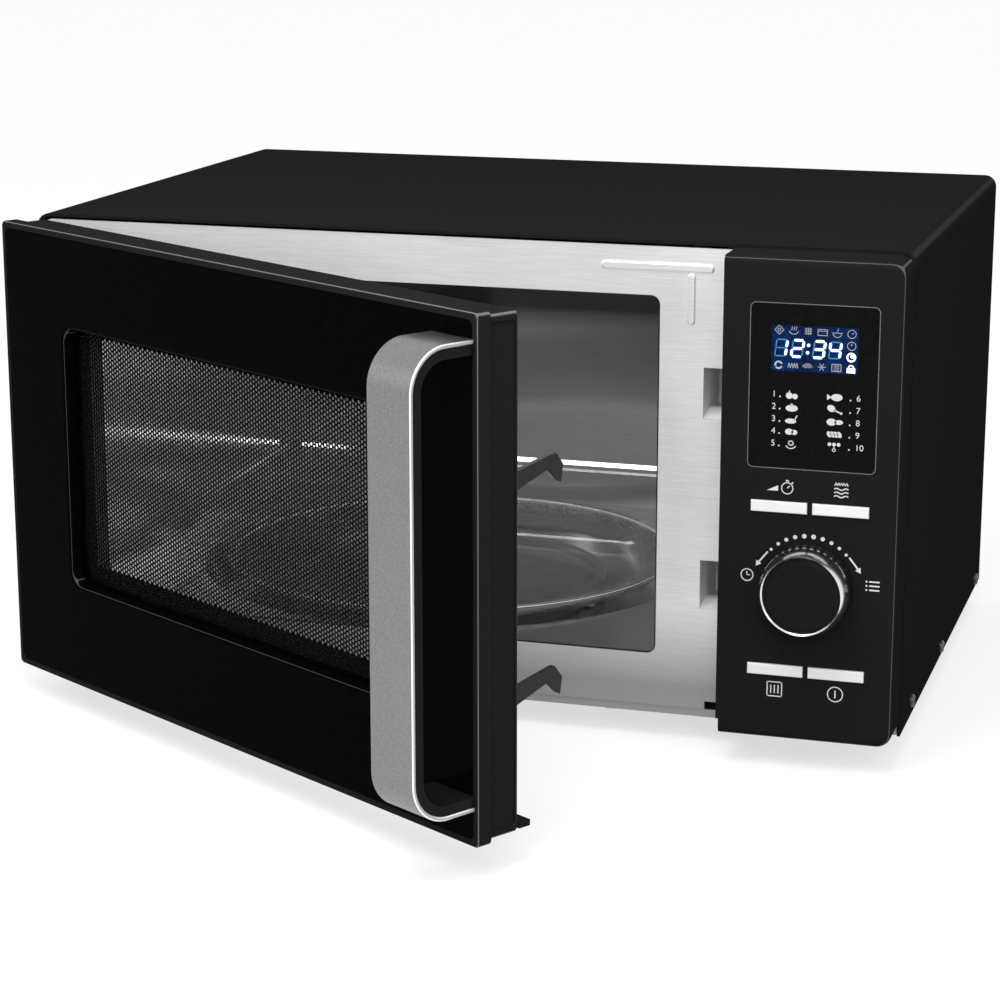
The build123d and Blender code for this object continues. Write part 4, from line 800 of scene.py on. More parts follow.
def dress(material: bpy.types.Material, *nodes: str) -> None:
    """Gives pieces of the frame their finish.

    Args:
        material: The finish.
        nodes: Names of the pieces.
    """
    for name in nodes:
        data = frame["nodes"][name].data
        data.materials.clear()
        data.materials.append(material)
        LOG.info("%s: %s", name, material.name)


# Sub-assemblies


@dataclass
class Cabinet:
    """The painted case, its front plate, feet and screws.

    The mouth and the painted shade in its seam are in millimetres, a screw's profile and slots in shares of
    its head.
    """

    head_sides: int = 24
    head_profile: tuple[Point, ...] = ((1.0, 0.45), (0.9, 0.8), (0.72, 1.0))
    slot_span: float = 0.62
    slot_width: float = 0.17
    slot_depth: float = 0.9
    mouth_low: Point = (-216.0, 47.0)
    mouth_high: Point = (110.0, 241.5)
    mouth_corner: float = 5.0
    seam_width: float = 0.8
    seam_depth: float = 0.5

    def seam(self) -> None:
        """Lays a thin black ring in the seam between the front plate and the lining: painted shade where the
        gap is dark.
        """
        # Painted shade: a black ring stands for the dark gap between the front plate and the lining.
        black = Finish("seam_painted_shade", grey(0.012), grey(0.02), rough=(0.5, 0.6), specular=0.1).build()
        low, high = Vector(self.mouth_low), Vector(self.mouth_high)
        sheet = plate(tuple(high - low), self.mouth_corner)
        hollow(sheet, self.seam_width)
        thicken(sheet, -self.seam_depth)
        middle = (low + high) / 2 * MM
        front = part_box("front_plate")[1].y - self.seam_depth * MM
        face = Face(Vector((middle.x, front, middle.y)), *front_axes())
        move(sheet, face.matrix())
        piece("mouth_seam_shade", sheet, "cabinet", black)

    def dress(self) -> None:
        """Gives the case its finishes."""
        # The case paint carries a faint painted highlight along its rounded bends.
        paint = Edged(
            "satin_black_paint", grey(0.0115), grey(0.0135), grain=even(2600.0), rough=(0.42, 0.52),
            specular=0.0, edge=0.03,
        )
        # Painted shade: the front plate, and the base plate with it, darken towards the bottom.
        plate_steel = Shaded(
            "brushed_plate_painted_shade", grey(0.8), grey(0.92), grain=stroke("X"), rough=(0.3, 0.38),
            relief_strength=0.1, metal=0.4,
        )
        zinc = Finish(
            "zinc_steel", (0.42, 0.43, 0.44), (0.62, 0.63, 0.64), grain=even(120.0), detail=1.0,
            rough=(0.3, 0.5), metal=1.0,
        )
        rubber = Finish(
            "foot_rubber", grey(0.32), grey(0.4), grain=even(1500.0), detail=3.0, rough=(0.6, 0.8),
            relief_mm=0.05, relief_strength=0.3, specular=0.3,
        )
        gland = Finish(
            "gland_plastic", grey(0.008), grey(0.014), grain=even(1800.0), detail=3.0, rough=(0.4, 0.55),
            relief_mm=0.03, relief_strength=0.3, specular=0.3,
        )
        dress(paint.build(), "outer_wrap", "back_plate")
        dress(plate_steel.build(), "front_plate", "base_plate")
        dress(zinc.build(), "upper_hinge", "lower_hinge")
        dress(rubber.build(), "feet")
        dress(gland.build(), "cord_gland")

    def screw_boxes(self) -> list[tuple[Vector, Vector]]:
        """Finds each screw in the frame.

        Returns:
            The lowest and highest corner of every screw.
        """
        mesh = bmesh.new()
        mesh.from_mesh(frame["nodes"]["case_screws"].data)
        bmesh.ops.remove_doubles(mesh, verts=mesh.verts[:], dist=WELD)
        left = set(mesh.verts)
        boxes = []
        while left:
            island, edge = set(), {next(iter(left))}
            while edge:
                island |= edge
                edge = {other for vert in edge for link in vert.link_edges for other in link.verts} - island
            left -= island
            spots = [vert.co for vert in island]
            low = Vector(min(spot[n] for spot in spots) for n in range(3))
            high = Vector(max(spot[n] for spot in spots) for n in range(3))
            boxes.append((low, high))
        mesh.free()
        return sorted(boxes, key=lambda box: (box[0].x, box[0].y))

    def screw_head(self, radius: float, height: float) -> bmesh.types.BMesh:
        """Makes a rounded head with a cross recess, standing on zero.

        Args:
            radius: Radius of the head in millimetres.
            height: Height of the head.

        Returns:
            The head's mesh in millimetres.
        """
        mesh = bmesh.new()
        rim = bmesh.ops.create_circle(mesh, segments=self.head_sides, radius=radius)["verts"]
        foot = links(rim)
        for share, lift in self.head_profile:
            grown = bmesh.ops.extrude_edge_only(mesh, edges=foot)["geom"]
            foot = only(bmesh.types.BMEdge, grown)
            for vert in only(bmesh.types.BMVert, grown):
                flat = Vector((vert.co.x, vert.co.y, 0.0)).normalized() * radius * share
                vert.co = (flat.x, flat.y, height * lift)
        reach, half = radius * self.slot_span, radius * self.slot_width
        quarter = [(reach, -half), (reach, half), (half, half)]
        cross = []
        for turn in range(4):
            spin = Matrix.Rotation(math.radians(90 * turn), 2)
            cross += [mesh.verts.new((*(spin @ Vector(point)), height)) for point in quarter]
        edges = [mesh.edges.new(pair) for pair in zip(cross, cross[1:] + cross[:1])]
        bmesh.ops.bridge_loops(mesh, edges=[*foot, *edges])
        sunk = bmesh.ops.extrude_edge_only(mesh, edges=edges)["geom"]
        drop = (0.0, 0.0, -self.slot_depth * height / 2)
        bmesh.ops.translate(mesh, verts=only(bmesh.types.BMVert, sunk), vec=drop)
        bmesh.ops.contextual_create(mesh, geom=only(bmesh.types.BMEdge, sunk))
        bmesh.ops.contextual_create(mesh, geom=[edge for edge in mesh.edges if edge.is_boundary])
        bmesh.ops.recalc_face_normals(mesh, faces=mesh.faces[:])
        return mesh

    def screws(self) -> None:
        """Puts a cross-recess screw in place of every plain one."""
        steel = Finish("blackened_screw", grey(0.05), grey(0.11), rough=(0.28, 0.4), metal=1.0).build()
        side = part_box("outer_wrap")[1].x
        whole = bmesh.new()
        for low, high in self.screw_boxes():
            middle = (low + high) / 2
            aim = 1.0 if middle.x > 0 else -1.0
            radius = (high.z - low.z) / 2 / MM
            proud = (max(high.x, -low.x) - side) / MM
            seat = Vector((aim * side, middle.y, middle.z))
            face = Face(seat, Vector((0, aim, 0)), Vector((0, 0, 1)), Vector((aim, 0, 0)))
            head = self.screw_head(radius, proud)
            move(head, face.matrix())
            join(whole, head)
        made = piece("cross_screws", whole, "cabinet", steel)
        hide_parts("case_screws")


@dataclass
class Oven:
    """The steel lining, the turntable and what heats and lights the oven, in metres."""

    stipple_from: float = 0.114
    stipple_full: float = 0.12

    def dress(self) -> None:
        """Gives the lining and the turntable their finishes."""
        # The lining is one steel in several tones. The side walls are a lighter, more diffuse copy of it:
        # painted light. The floor is a darker copy: painted shade. The back wall carries painted shade that
        # darkens it towards its top.
        painted_light_wall = Finish(
            "lining_wall_painted_light", grey(0.82), grey(0.92), grain=stroke("Y"), rough=(0.1, 0.16),
            relief_strength=0.04, metal=0.6,
        )
        roof = Finish(
            "lining_roof", grey(0.62), grey(0.72), grain=stroke("X"), rough=(0.1, 0.16),
            relief_strength=0.04, metal=0.92,
        )
        back = Shaded(
            "lining_back_painted_shade", grey(0.86), grey(0.98), grain=stroke("X"), rough=(0.08, 0.14),
            relief_strength=0.04, metal=0.7, specular=0.2, end=0.012, fall=(0.12, 0.175), share=0.97,
        )
        floor = Finish(
            "lining_floor_painted_shade", grey(0.34), grey(0.42), grain=stroke("X"), rough=(0.1, 0.16),
            relief_strength=0.04, metal=0.92,
        )
        white = Finish(
            "white_plastic", (0.74, 0.74, 0.71), (0.82, 0.82, 0.79), detail=3.0, rough=(0.35, 0.5),
        )
        mica = Finish(
            "mica_sheet", (0.36, 0.31, 0.22), (0.58, 0.52, 0.42), grain=even(160.0), detail=4.0,
            rough=(0.35, 0.6),
        )
        sheath = Finish(
            "heater_sheath", (0.14, 0.13, 0.12), (0.3, 0.29, 0.28), grain=even(240.0), detail=4.0,
            rough=(0.3, 0.5), metal=1.0,
        )
        low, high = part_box("turntable_tray")
        tray = StippledGlass(
            "pressed_glass", (0.1, 0.105, 0.105), (0.14, 0.145, 0.145), grain=even(60.0), detail=3.0,
            rough=(0.03, 0.12), cover=0.58, centre=tuple((low + high) / 2), inner=self.stipple_from,
            outer=self.stipple_full,
        )
        bulb = Finish(
            "bulb_glass", grey(0.9), grey(0.97), grain=even(80.0), detail=3.0, rough=(0.02, 0.06),
            clear=1.0, bend=1.45,
        )
        dress(painted_light_wall.build(), "cavity_left_wall", "cavity_right_wall")
        dress(back.build(), "cavity_back_wall")
        dress(roof.build(), "cavity_ceiling")
        dress(floor.build(), "cavity_floor")
        rollers = [f"roller_{number}" for number in (1, 2, 3)]
        dress(white.build(), "roller_ring", *rollers, "turntable_coupler", "lamp_holder")
        dress(mica.build(), "mica_cover")
        dress(sheath.build(), "grill_element")
        dress(tray.build(), "turntable_tray")
        dress(bulb.build(), "oven_lamp")


@dataclass
class Works:
    """What sits behind the panels: power parts, fan, motors and switches."""

    def dress(self) -> None:
        """Gives the inner parts their finishes."""
        zinc = Finish(
            "plated_steel", (0.42, 0.43, 0.44), (0.6, 0.61, 0.62), grain=even(140.0), detail=1.0,
            rough=(0.3, 0.5), metal=1.0,
        )
        core = Laminated(
            "core_sheets", grey(0.07), grey(0.13), grain=even(400.0), detail=3.0, rough=(0.45, 0.6),
            metal=0.6,
        )
        black = Finish(
            "works_plastic", grey(0.012), grey(0.02), grain=even(1500.0), detail=3.0, rough=(0.4, 0.6),
            specular=0.4,
        )
        board = Finish(
            "circuit_board", (0.02, 0.13, 0.05), (0.04, 0.2, 0.08), grain=even(700.0), rough=(0.3, 0.45),
        )
        catch = Finish("grey_plastic", grey(0.72), grey(0.8), detail=3.0, rough=(0.4, 0.55))
        plated = zinc.build()
        dress(plated, "waveguide", "magnetron", "capacitor", "fan_shroud", "thermal_cutout")
        dress(plated, "turntable_motor", "turntable_shaft", "encoder_shaft", "encoder_body", "latch_spring")
        dress(core.build(), "transformer", "fan_motor")
        dress(black.build(), "diode", "door_switches", "key_switches", "fan_wheel")
        dress(board.build(), "control_board")
        dress(catch.build(), "latch_board")


@dataclass
class Door:
    """The swinging door with its perforated screen and bow handle, in millimetres on its own face."""

    column: float = 2.165
    row: float = 2.5
    hole: float = 0.92
    hole_sides: int = 8
    columns: int = 116
    rows: int = 51
    zone_mid: Point = (188.75, 148.15)
    sheet: float = 0.4
    field_out: float = 14.2
    strips: int = 2
    weld: float = 1e-4
    swing: float = field(init=False)
    face: Face = field(init=False)

    def __post_init__(self) -> None:
        """Finds the door's face from its hinge and how far it stands open."""
        hinge = next(joint for joint in frame["joints"] if joint["name"] == "door_swing")
        self.swing = -hinge["range_deg"][0]
        swing = math.radians(self.swing)
        across = Vector((math.cos(swing), -math.sin(swing), 0.0))
        up = Vector((0.0, 0.0, 1.0))
        self.face = Face(Vector(hinge["pos_m"]), across, up, across.cross(up))

    def dress(self) -> None:
        """Gives the door its finishes."""
        # Painted highlights: the door's plastics carry a light line along their rounded edges, and the handle
        # band along its cut sides and chamfers.
        moulded = Edged(
            "door_plastic", grey(0.013), grey(0.018), grain=even(2200.0), rough=(0.26, 0.34),
            relief_strength=0.12, specular=0.0, edge=0.16, turn=self.swing,
        )
        gloss = Edged(
            "door_gloss", grey(0.0012), grey(0.002), grain=even(300.0), rough=(0.06, 0.1), relief_mm=0.01,
            relief_strength=0.02, specular=0.005, edge=0.07, turn=self.swing, width=(0.76, 0.715),
        )
        inside = Edged(
            "handle_plastic", grey(0.008), grey(0.011), grain=even(2200.0), rough=(0.2, 0.3),
            specular=0.04, edge=0.02, turn=self.swing,
        )
        hook = Edged(
            "hook_plastic", grey(0.01), grey(0.015), grain=even(1500.0), rough=(0.2, 0.3), specular=0.2,
            edge=0.2, turn=self.swing,
        )
        band = BrightSided(
            "satin_band", grey(0.17), grey(0.29), grain=even(1600.0), detail=5.0, rough=(0.34, 0.44),
            relief_mm=0.03, relief_strength=0.3, metal=1.0, turn=self.swing,
        )
        pane = Pane("smoked_pane", grey(0.002), grey(0.004), specular=0.02, cover=0.12)
        inner = Pane("inner_pane", grey(0.8), grey(0.9), specular=0.4, cover=0.06)
        dress(moulded.build(), "door_frame", "choke_cover")
        dress(inside.build(), "handle_liner")
        dress(hook.build(), "latch_bar")
        dress(gloss.build(), "door_panel")
        dress(band.build(), "handle_band")
        dress(pane.build(), "door_window")
        dress(inner.build(), "inner_window")

    def cell(self, mesh: bmesh.types.BMesh) -> None:
        """Draws one oblong of the screen with its hole.

        Args:
            mesh: The bare sheet to draw on.
        """
        size = Matrix.Diagonal((self.column, self.row, 1.0, 1.0))
        made = bmesh.ops.create_grid(mesh, x_segments=2, y_segments=2, size=0.5, matrix=size)["verts"]
        middle = min(made, key=lambda vert: vert.co.length)
        outline = [vert for vert in made if vert != middle]
        bmesh.ops.delete(mesh, geom=[middle], context="VERTS")
        hole = bmesh.ops.create_circle(mesh, segments=self.hole_sides, radius=self.hole)["verts"]
        bmesh.ops.bridge_loops(mesh, edges=links(outline) + links(hole))

    def copies(self, mesh: bmesh.types.BMesh, count: int, step: Point) -> None:
        """Repeats all that is in the sheet.

        Args:
            mesh: The sheet.
            count: How many there are in all.
            step: From one copy to the next.
        """
        geom = [*mesh.verts, *mesh.edges, *mesh.faces]
        for number in range(1, count):
            made = bmesh.ops.duplicate(mesh, geom=geom)["geom"]
            shift = (step[0] * number, step[1] * number, 0.0)
            bmesh.ops.translate(mesh, verts=only(bmesh.types.BMVert, made), vec=shift)

    def column_pair(self) -> bmesh.types.BMesh:
        """Draws two neighbouring columns of holes, the second half a step higher.

        Returns:
            The flat sheet of both columns, standing on zero.
        """
        pair = bmesh.new()
        self.cell(pair)
        bmesh.ops.translate(pair, verts=pair.verts[:], vec=(self.column / 2, self.row / 2, 0.0))
        self.copies(pair, self.rows, (0.0, self.row))
        second = bmesh.new()
        self.cell(second)
        bmesh.ops.translate(second, verts=second.verts[:], vec=(self.column * 1.5, self.row, 0.0))
        self.copies(second, self.rows - 1, (0.0, self.row))
        for height in (self.row / 4, self.row * (self.rows - 0.25)):
            place = Matrix.Translation((self.column * 1.5, height, 0.0))
            place = place @ Matrix.Diagonal((self.column, self.row / 2, 1.0, 1.0))
            bmesh.ops.create_grid(second, x_segments=2, y_segments=1, size=0.5, matrix=place)
        join(pair, second)
        return pair

    def screen(self) -> None:
        """Replaces the plain screen by one with holes."""
        enamel = Finish(
            "screen_enamel", grey(0.004), grey(0.007), grain=even(1500.0), rough=(0.4, 0.55),
            specular=0.0,
        ).build()
        bare = Finish("bare_screen", grey(0.05), grey(0.08), rough=(0.35, 0.5), metal=0.3).build()
        width, height = self.columns * self.column, self.rows * self.row
        low = (self.zone_mid[0] - width / 2, self.zone_mid[1] - height / 2)
        high = (low[0] + width, low[1] + height)
        place = self.face.matrix()
        rim = bmesh.new()
        rim.from_mesh(frame["nodes"]["door_screen"].data)
        bmesh.ops.remove_doubles(rim, verts=rim.verts[:], dist=WELD)
        for normal in (self.face.across, self.face.up):
            for spot in (low, high):
                cut(rim, place @ Vector((*spot, 0.0)), normal)
        back = place.inverted()
        inside = []
        for part in rim.faces:
            spot = back @ part.calc_center_median()
            if low[0] < spot.x < high[0] and low[1] < spot.y < high[1]:
                inside.append(part)
        bmesh.ops.delete(rim, geom=inside, context="FACES")
        made = piece("screen_rim", rim, "door", enamel)
        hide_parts("door_screen")
        pairs = self.columns // 2 // self.strips
        for number in range(self.strips):
            holes = self.column_pair()
            self.copies(holes, pairs, (2 * self.column, 0.0))
            bmesh.ops.remove_doubles(holes, verts=holes.verts[:], dist=self.weld)
            thicken(holes, -self.sheet)
            for part in holes.faces:
                part.material_index = 0 if part.normal.z > 0.5 else 1
            shift = Matrix.Translation((low[0] + number * pairs * 2 * self.column, low[1], self.field_out))
            move(holes, place @ shift)
            strip = piece(f"screen_holes_{number + 1}", holes, "door", enamel, bare)


@dataclass
class ControlPanel:
    """The fascia with its display, buttons, knob and printed marks, in millimetres.

    A layer of the display has its height over the module and its thickness.
    """

    ink: float = 0.06
    lit_size: Point = (44.0, 23.6)
    lit_top: float = 10.7
    bezel_corner: float = 2.7
    outline: float = 0.4
    outline_corner: float = 3.0
    lens_gap: float = 0.1
    lens_corner: float = 0.2
    lens_sunk: float = 0.05
    field_layer: Point = (0.02, 0.1)
    halo_layer: Point = (0.13, 0.01)
    dim_layer: Point = (0.15, 0.02)
    lit_layer: Point = (0.15, 0.03)
    lean: float = 7.0
    numeral_half: Point = (2.7, 4.15)
    numeral_u: tuple[float, float, float, float] = (5.0, 13.3, 24.1, 32.2)
    numeral_v: float = 11.9
    bar_width: float = 1.15
    dim_share: float = 0.55
    halo_share: float = 1.9
    colon_u: float = 18.6
    colon_rise: float = 1.9
    colon_lean: float = 0.12
    colon_dot: float = 0.75
    colon_halo: float = 1.15
    legend_rows: int = 5
    legend_top: float = 46.1
    legend_step: float = 6.3
    number_u: Point = (12.6, 55.2)
    number_indent: float = 1.1
    number_height: float = 3.1
    point_u: Point = (15.6, 51.2)
    point_drop: float = 1.1
    point_radius: float = 0.42
    sign_u: Point = (21.7, 43.6)
    dots: int = 10
    dot_reach: float = 26.5
    dot_angle: float = 46.5
    fascia: Face = field(init=False)
    window: Face = field(init=False)

    def __post_init__(self) -> None:
        """Finds the panel's face and the upper left corner of its window."""
        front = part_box("control_fascia")[0].y
        self.fascia = Face(Vector((0.0, front, 0.0)), *front_axes())
        low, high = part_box("display_window")
        self.window = Face(Vector((low.x, low.y, high.z)), *front_axes())

    def dress(self) -> None:
        """Gives the panel's own pieces their finishes."""
        # Painted highlight: the fascia's rounded edges are tinted lighter.
        case = Edged(
            "fascia_gloss", grey(0.0125), grey(0.0142), rough=(0.1, 0.16), relief_mm=0.01,
            relief_strength=0.04, specular=0.0, edge=0.09, width=(0.78, 0.73),
        )
        keys = Finish(
            "silver_key", grey(0.82), grey(0.88), grain=stroke("X"), rough=(0.3, 0.4), relief_mm=0.01,
            relief_strength=0.1, specular=0.4,
        )
        cap = Finish(
            "knob_black", grey(0.009), grey(0.011), grain=even(700.0), rough=(0.16, 0.24), specular=0.03,
        )
        chrome = Finish(
            "knob_chrome", grey(0.74), grey(0.82), grain=even(300.0), rough=(0.16, 0.22), relief_mm=0.005,
            relief_strength=0.05, metal=1.0,
        )
        module = Finish("module_plastic", grey(0.02), grey(0.03), rough=(0.5, 0.6))
        dress(case.build(), "control_fascia")
        buttons = [f"button_{row}_{side}" for row in ("upper", "lower") for side in ("left", "right")]
        dress(keys.build(), *buttons)
        dress(cap.build(), "knob_cap")
        dress(chrome.build(), "knob_ring")
        dress(module.build(), "display_module")

    def lit_corner(self) -> Point:
        """Upper left corner of the lit field, in millimetres from the window's upper left corner."""
        low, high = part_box("display_window")
        return ((high.x - low.x) / MM / 2 - self.lit_size[0] / 2, -self.lit_top)

    def bezel(self) -> None:
        """Replaces the window by a black pane that leaves the display open, with a clear lens in it."""
        black = Finish(
            "window_gloss", grey(0.004), grey(0.006), grain=even(400.0), rough=(0.05, 0.1),
            relief_mm=0.01, relief_strength=0.03, specular=0.02,
        )
        glass = Pane("lens_glass", grey(0.01), grey(0.02), rough=(0.02, 0.04), specular=0.3, cover=0.05)
        low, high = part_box("display_window")
        size = ((high.x - low.x) / MM, (high.z - low.z) / MM)
        depth = (high.y - low.y) / MM
        left, top = self.lit_corner()
        middle = Vector((size[0] / 2, -size[1] / 2, 0.0))
        sheet = plate(size, self.bezel_corner)
        width, height = self.lit_size
        corners = (left, top - height, 0.0), (left + width, top, 0.0)
        opening = [Vector(corner) - middle for corner in corners]
        for corner in opening:
            for normal in ((1, 0, 0), (0, 1, 0)):
                cut(sheet, corner, Vector(normal))
        hole = []
        for part in sheet.faces:
            spot = part.calc_center_median()
            if all(opening[0][n] < spot[n] < opening[1][n] for n in range(2)):
                hole.append(part)
        bmesh.ops.delete(sheet, geom=hole, context="FACES")
        thicken(sheet, -depth)
        move(sheet, self.window.matrix() @ Matrix.Translation(middle))
        made = piece("display_bezel", sheet, "cabinet", black.build())
        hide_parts("display_window")
        lens = plate(tuple(side - self.lens_gap for side in self.lit_size), self.lens_corner)
        thicken(lens, -depth / 2)
        spot = (opening[0] + opening[1]) / 2 + middle - Vector((0.0, 0.0, self.lens_sunk))
        move(lens, self.window.matrix() @ Matrix.Translation(spot))
        piece("display_lens", lens, "cabinet", glass.build())

    def rim(self) -> None:
        """Lays the thin bright line round the window."""
        bright = Finish("window_line", grey(0.13), grey(0.19), rough=(0.3, 0.4), specular=0.2).build()
        low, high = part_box("display_window")
        size = ((high.x - low.x) / MM, (high.z - low.z) / MM)
        sheet = plate(tuple(side + 2 * self.outline for side in size), self.outline_corner)
        hollow(sheet, self.outline)
        thicken(sheet, self.ink)
        across, up = self.spot_of("display_window")
        face = Face(Vector((across * MM, self.fascia.origin.y, up * MM)), *front_axes())
        move(sheet, face.matrix())
        piece("display_rim", sheet, "cabinet", bright)

    def display(self) -> None:
        """Builds the lit field with the clock and its small signs."""
        field_blue = Lit("lit_field", (0.0, 0.003, 0.018), (0.0, 0.012, 0.06), grain=even(70.0))
        halo_blue = Lit("lit_halo", (0.0, 0.06, 0.3), (0.0, 0.1, 0.46))
        dim_blue = Lit("dim_bar", (0.02, 0.13, 0.26), (0.04, 0.18, 0.34))
        white = Lit("lit_bar", (0.85, 0.93, 1.0), (0.95, 0.98, 1.0), glow=1.6)
        sign_grey = Lit("dim_sign", (0.3, 0.32, 0.36), (0.4, 0.42, 0.46), glow=0.55)
        left, top = self.lit_corner()
        depth = (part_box("display_module")[0].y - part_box("display_window")[0].y) / MM
        shift = Vector((left * MM, depth * MM, top * MM))
        face = Face(self.window.origin + shift, self.window.across, self.window.up, self.window.out)
        sheet = Stencil()
        width, height = self.lit_size
        sheet.bar((0.0, -height / 2), (width, -height / 2), height)
        sheet.place("display_field", face, *self.field_layer, field_blue.build(), "cabinet")
        lit, halo, dim, dim_sign = Stencil(), Stencil(), Stencil(), Stencil()
        time = (Numeral.ONE, Numeral.TWO, Numeral.THREE, Numeral.FOUR)
        for across, numeral in zip(self.numeral_u, time):
            spot = (across, -self.numeral_v)
            for segment in Segment:
                on = segment in numeral.value
                target, bold = (lit, self.bar_width) if on else (dim, self.bar_width * self.dim_share)
                target.numeral_bar(segment, spot, self.numeral_half, bold, self.lean)
                if on:
                    glow = self.bar_width * self.halo_share
                    halo.numeral_bar(segment, spot, self.numeral_half, glow, self.lean)
        for rise in (-self.colon_rise, self.colon_rise):
            spot = (self.colon_u + rise * self.colon_lean, rise - self.numeral_v)
            lit.disc(spot, self.colon_dot)
            halo.disc(spot, self.colon_halo)
        self.display_signs(lit, dim_sign)
        halo.place("display_halo", face, *self.halo_layer, halo_blue.build(), "cabinet")
        dim.place("display_dim_bars", face, *self.dim_layer, dim_blue.build(), "cabinet")
        dim_sign.place("display_signs", face, *self.dim_layer, sign_grey.build(), "cabinet")
        lit.place("display_lit_bars", face, *self.lit_layer, white.build(), "cabinet")

    def display_signs(self, lit: Stencil, dim: Stencil) -> None:
        """Draws the small signs round the clock.

        Args:
            lit: Drawing of what is lit.
            dim: Drawing of what is not lit.
        """
        thin = 0.32
        upper, lower = -2.9, -20.7
        places = [3.9, 11.2, 18.5, 25.7, 33.1]
        # Diamond with a ring
        diamond = [(0.0, 2.3), (2.3, 0.0), (0.0, -2.3), (-2.3, 0.0)]
        corners = [(places[0] + x, upper + y) for x, y in diamond]
        dim.line(corners + corners[:1], thin)
        dim.ring((places[0], upper), 0.75, thin)
        # Bowl with steam, and a grid
        dim.arc((places[1], upper + 0.6), 2.5, thin, 200.0, 340.0)
        for offset in (-1.1, 0.0, 1.1):
            dim.bar((places[1] + offset, upper), (places[1] + offset + 0.4, upper + 2.0), thin)
            dim.bar((places[2] - 1.8, upper + offset), (places[2] + 1.8, upper + offset), thin)
            dim.bar((places[2] + offset, upper - 1.8), (places[2] + offset, upper + 1.8), thin)
        # Box with a lid
        dim.square((places[3], upper - 0.3), (4.6, 3.0), thin)
        dim.bar((places[3] - 2.3, upper + 0.4), (places[3] + 2.3, upper + 0.4), thin)
        # Cup with a spoon
        dim.arc((places[4], upper - 0.2), 2.2, thin, 180.0, 360.0)
        dim.bar((places[4] - 2.6, upper - 0.2), (places[4] + 2.6, upper - 0.2), thin)
        dim.bar((places[4], upper + 0.4), (places[4] + 0.5, upper + 2.2), thin)
        # Broken ring
        dim.arc((places[0], lower), 1.7, 0.9, 20.0, 200.0)
        dim.arc((places[0], lower), 1.7, 0.9, 220.0, 340.0)
        # Heater coil
        points = [(places[1] - 2.6 + 0.65 * n, lower + (1.3 if n % 2 else -1.3)) for n in range(9)]
        dim.line(points, thin)
        # Nested arcs
        for reach in (1.0, 1.8, 2.6):
            dim.arc((places[2], lower - 1.3), reach, thin, 20.0, 160.0)
        # Star of frost
        for turn in range(3):
            angle = math.radians(60 * turn)
            aim = Vector((math.cos(angle), math.sin(angle))) * 2.0
            middle = Vector((places[3], lower))
            dim.bar(tuple(middle - aim), tuple(middle + aim), thin)
        # List
        dim.square((places[4], lower), (4.6, 3.6), thin)
        for offset in (-1.0, 0.0, 1.0):
            dim.bar((places[4] - 1.4, lower + offset), (places[4] + 1.4, lower + offset), thin)
        # Two clocks, a ring with a dot and a lock, one above the other
        side = 40.4
        for height, hand in ((-3.3, (0.9, 0.7)), (-9.3, (0.0, 1.3))):
            dim.ring((side, height), 2.1, thin)
            dim.bar((side, height), (side + hand[0], height + hand[1]), thin)
        lit.ring((side, -15.0), 2.0, 0.75)
        lit.disc((side + 0.5, -14.6), 0.95)
        lit.arc((side, -20.3), 1.25, 0.6, 0.0, 180.0)
        lit.patch([(side - 2.1, -20.4), (side - 2.1, -22.9), (side + 2.1, -22.9), (side + 2.1, -20.4)])

    def legends(self) -> None:
        """Prints the plain numbers and dish signs under the display."""
        ink = Finish(
            "white_ink", grey(0.62), grey(0.72), grain=even(1800.0), rough=(0.5, 0.6), specular=0.2,
        ).build()
        sheet = Stencil()
        for row in range(self.legend_rows):
            height = self.row_height(row)
            for across in self.point_u:
                sheet.disc((across, height - self.point_drop), self.point_radius)
            left, right = row + 1, row + 1 + self.legend_rows
            sheet.number(str(left), (self.number_u[0], height), self.number_height)
            indent = self.number_indent * (len(str(right)) - 1)
            sheet.number(str(right), (self.number_u[1] + indent, height), self.number_height)
        self.left_signs(sheet, self.sign_u[0])
        self.right_signs(sheet, self.sign_u[1])
        sheet.place("printed_legends", self.window, 0.0, self.ink, ink, "cabinet")

    def row_height(self, row: int) -> float:
        """Height of a legend's row, below the window's upper edge."""
        return -(self.legend_top + self.legend_step * row)

    def left_signs(self, sheet: Stencil, middle: float) -> None:
        """Draws the five dish signs of the left column.

        Args:
            sheet: Drawing to add to.
            middle: Middle of the column.
        """
        # Two fruits with a stalk
        high = self.row_height(0)
        sheet.disc((middle - 1.4, high - 0.4), 1.7)
        sheet.disc((middle + 1.5, high - 0.7), 1.4)
        sheet.bar((middle - 1.6, high + 1.0), (middle - 1.2, high + 2.2), 0.5)
        # Covered dish
        high = self.row_height(1)
        sheet.disc((middle, high - 0.5), 3.1, 0.55)
        sheet.disc((middle, high + 1.3), 0.6)
        # Plate with a spoon
        high = self.row_height(2)
        sheet.disc((middle - 0.4, high - 0.8), 2.9, 0.45)
        sheet.bar((middle + 1.6, high - 0.4), (middle + 2.8, high + 2.2), 0.6)
        # Two potatoes
        high = self.row_height(3)
        sheet.disc((middle - 1.0, high), 2.1, 0.75)
        sheet.disc((middle + 1.6, high - 0.2), 1.6, 0.8)
        # Saucer with a cup
        high = self.row_height(4)
        sheet.arc((middle, high + 0.6), 2.9, 0.5, 210.0, 330.0)
        sheet.square((middle, high + 0.5), (2.2, 2.0), 0.6)

    def right_signs(self, sheet: Stencil, middle: float) -> None:
        """Draws the five dish signs of the right column.

        Args:
            sheet: Drawing to add to.
            middle: Middle of the column.
        """
        # Fish
        high = self.row_height(0)
        sheet.disc((middle + 0.7, high), 2.9, 0.62)
        sheet.patch([(middle - 1.8, high), (middle - 4.2, high - 1.5), (middle - 4.2, high + 1.5)])
